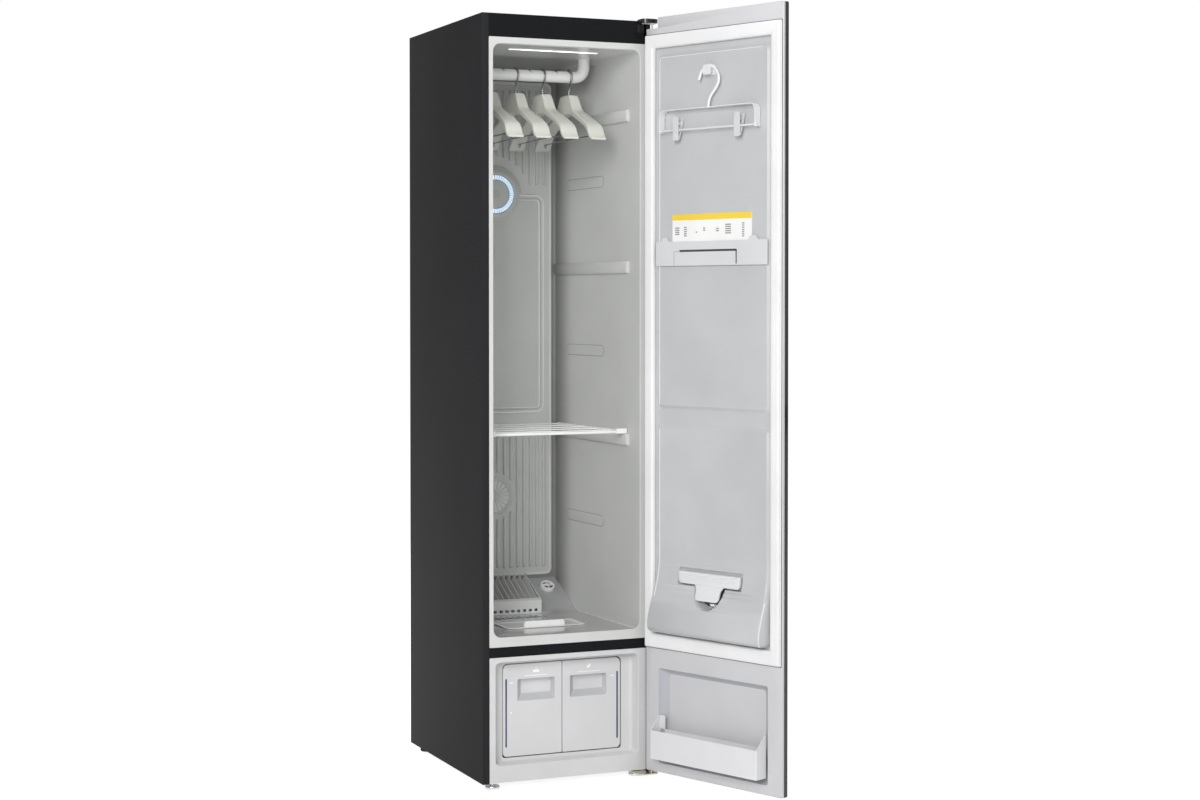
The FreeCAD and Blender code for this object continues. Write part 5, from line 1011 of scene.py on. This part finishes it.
# A plain card behind the rack: a coloured band and rows of grey blocks in place of print.
INK_Y = (-7.45, -7.3)
card = slab("XZ", rounded_box(-127, 127, 1264, 1375, 1.5, 3), -8.3, -7.4)
make("info_card", card, CARD, body="door")
band = slab("XZ", rounded_box(-126.8, 126.8, 1360.5, 1374.8, 1.2, 3), *INK_Y)
make("info_card_band", band, CARD_YELLOW, body="door")
card_blocks = Shape()
for low, wide, base, tall in ((104, 14, 1326, 24), (80, 9, 1322, 26), (46, 5, 1330, 5), (20, 7, 1334, 12),
                              (-24, 10, 1332, 14), (-62, 18, 1326, 26), (-104, 7, 1318, 36)):
    for row in range(tall // 5):
        foot = base + 5 * row
        card_blocks.join(slab("XZ", rounded_box(low, low + wide, foot, foot + 3, 0.8, 2), *INK_Y))
make("info_card_blocks", card_blocks, CARD_INK, body="door")

# The clip lever: a ridged bar with rounded ends and a leaning paddle below it.
bar_outer = rounded(box_outline(-97, 97, 493, 522), [9, 9, 3, 3], 5)
bar_eased = rounded(box_outline(-95.8, 95.8, 494.2, 520.8), [8, 8, 2, 2], 5)
lever = layers("XZ", [(bar_outer, -7.5), (bar_outer, 0.2), (bar_eased, 1.5)])
for low in (504, 509, 514):
    lever.join(layers("XZ", [(rounded_box(-88, 88, low, low + 2, 0.9, 3), 1.4),
                             (rounded_box(-87.4, 87.4, low + 0.5, low + 1.5, 0.4, 3), 2.3)], False, True))
paddle_outline = rounded([(-37, 457), (37, 457), (38, 482), (46, 494), (-46, 494), (-38, 482)],
                         [9, 9, 9, 0, 0, 9], 6)
count = len(paddle_outline)
paddle = Shape()
for push in (0, 4):
    paddle.points += [(u, -6.3 + 13 * (500 - v) / 43 + push, v) for u, v in paddle_outline]
paddle.faces += [tuple(range(count)), tuple(range(count, 2 * count))]
paddle.wrap(count, 2)
lever.join(paddle)
make("clip_press_bar", lever, CLIP, ["clip_lever"], "lever", bevel=0.6)
coil = [(-3 - 14 * k / 60, -4 + 3 * cos(k * 0.9), 449 + 3 * sin(k * 0.9)) for k in range(61)]
make("lever_return_spring", tube(coil, 0.9, 6), WHITE, body="door", crease=60)

# The trouser hanger: one bent wire with a hook, an oblong yoke and two spring clips on its bar.
CLIP_ROD_Y, CLIP_ROD_Z = 8, 1575
hook_wire = [(x, 4, z) for x, z in ((30, 1690), (26, 1700), (19, 1712), (0, 1722.6), (-18, 1716), (-31, 1700),
                                    (-33, 1684), (-24, 1668), (-9, 1652), (-2, 1638), (0, 1622))]
trousers = tube(smooth_path(hook_wire, 6), 3.4, 12)
strap = rounded([(-154, 1570), (-154, 1625), (154, 1625), (154, 1570), (151.6, 1570), (151.6, 1622.6),
                 (-151.6, 1622.6), (-151.6, 1570)], [0, 16, 16, 0, 0, 13.6, 13.6, 0], 6)
trousers.join(slab("XZ", strap, -6, 13))
trousers.join(tube([(x, CLIP_ROD_Y, CLIP_ROD_Z) for x in (-153, 0, 153)], 2.2, 12))
for side in BOTH:
    trousers.join(spin([(0, 3), (3.4, 2.6), (4.4, 0), (0, 0)], 16),
                  at(side * 154, CLIP_ROD_Y, CLIP_ROD_Z) @ turn(side * pi / 2, "Y"))
make("trouser_hanger_wire", trousers, SATIN_WIRE, ["trouser_hanger"], "trousers", bevel=0.3,
     crease=50)
rear_jaw = slab("YZ", [(-6.4, 1604), (-4.6, 1604), (0.4, 1575), (10.6, 1552), (8.8, 1551), (-1.6, 1575)],
                -8.4, 8.4)
for name, x in (("left", -98), ("right", 98)):
    clip = slab("XZ", rounded_box(x - 9, x + 9, 1550, 1606, 3, 4), 11.4, 13.4)
    clip.join(rear_jaw, at(x, 0))
    clip.join(tube([(u, CLIP_ROD_Y, CLIP_ROD_Z) for u in (x - 9, x, x + 9)], 3.6, 14))
    spring = [(x + 5 * cos(0.7 * k) * 0.9, 2 + 5 * sin(0.7 * k), 1588 + 0.12 * k) for k in range(40)]
    clip.join(tube(spring, 0.8, 6))
    make("trouser_clip_%s_jaws" % name, clip, JAW, ["trouser_clip_" + name], "clip_" + name,
         bevel=0.4)


# ---- stage ----
def seen_by(tree, *rays):
    """A factor that is one for these kinds of ray."""
    path = add_node(tree, "LightPath")
    either = add_node(tree, "Math")
    either.operation = "MAXIMUM"
    for field, ray in zip(either.inputs, rays):
        tree.links.new(path.outputs["Is %s Ray" % ray], field)
    return either.outputs["Value"]


FLOOR_GLOW, WORLD_GLOW = 0.72, 0.36

# The floor looks white to the camera and in reflections, but lights nothing.
paint = bpy.data.materials.new("studio_floor")
paint.use_nodes = True
tree = paint.node_tree
link = tree.links.new
shader = tree.nodes["Principled BSDF"]
shader.inputs["Base Color"].default_value = linear(235, 235, 235)
shader.inputs["Roughness"].default_value = 0.9
shader.inputs["Specular IOR Level"].default_value = 0.1
white = add_node(tree, "Emission", Strength=FLOOR_GLOW)
lit = add_node(tree, "AddShader")
mix = add_node(tree, "MixShader")
link(shader.outputs["BSDF"], lit.inputs[0])
link(white.outputs["Emission"], lit.inputs[1])
link(seen_by(tree, "Camera", "Glossy"), mix.inputs["Fac"])
link(shader.outputs["BSDF"], mix.inputs[1])
link(lit.outputs["Shader"], mix.inputs[2])
link(mix.outputs["Shader"], tree.nodes["Material Output"].inputs["Surface"])
plane = bpy.data.meshes.new("studio_floor")
plane.from_pydata([(-12, -12, 0), (12, -12, 0), (12, 14, 0), (-12, 14, 0)], [], [(0, 1, 2, 3)])
floor_object = bpy.data.objects.new("studio_floor", plane)
bpy.context.scene.collection.objects.link(floor_object)
plane.materials.append(paint)

world = bpy.data.worlds.new("studio")
bpy.context.scene.world = world
world.use_nodes = True
tree = world.node_tree
link = tree.links.new
tree.nodes.clear()
seen = add_node(tree, "Background", Color=(1, 1, 1, 1))
soft = add_node(tree, "Background", Color=(1, 1, 1, 1), Strength=WORLD_GLOW)
mix = add_node(tree, "MixShader")
link(seen_by(tree, "Camera", "Transmission"), mix.inputs["Fac"])
link(soft.outputs["Background"], mix.inputs[1])
link(seen.outputs["Background"], mix.inputs[2])
link(mix.outputs["Shader"], add_node(tree, "OutputWorld").inputs["Surface"])


def lamp(name, place, target, width, height, power):
    light = bpy.data.lights.new(name, "AREA")
    light.shape = "RECTANGLE"
    light.size, light.size_y = width, height
    light.energy = power
    held = bpy.data.objects.new(name, light)
    bpy.context.scene.collection.objects.link(held)
    held.location = place
    held.rotation_euler = (Vector(target) - Vector(place)).to_track_quat("-Z", "Y").to_euler()


lamp("key_light", (-2.9, -4.0, 2.5), (0.1, 0.1, 1.0), 1.8, 2.2, 150)
lamp("front_light", (-0.5, -4.8, 2.0), (0.0, 0.2, 1.0), 2.4, 2.4, 16)
lamp("top_light", (0.52, -0.58, 4.4), (0.12, 0.0, 0.9), 2.6, 2.6, 40)
lamp("right_light", (3.32, -2.18, 2.0), (0.12, 0.2, 1.0), 2.0, 2.6, 10)
lamp("rear_light", (0.72, 4.42, 2.6), (-0.08, 0.2, 1.0), 2.4, 2.6, 40)

view = bpy.data.cameras.new("camera")
view.sensor_width = 36
view.lens = 64.185
view.shift_y = -0.0415
camera = bpy.data.objects.new("camera", view)
camera.location = (-2.05202, -4.81835, 1.16312)
camera.rotation_euler = (radians(88.737), 0, radians(-23.389))
bpy.context.scene.collection.objects.link(camera)
bpy.context.scene.camera = camera
bpy.context.scene.view_settings.view_transform = "Standard"
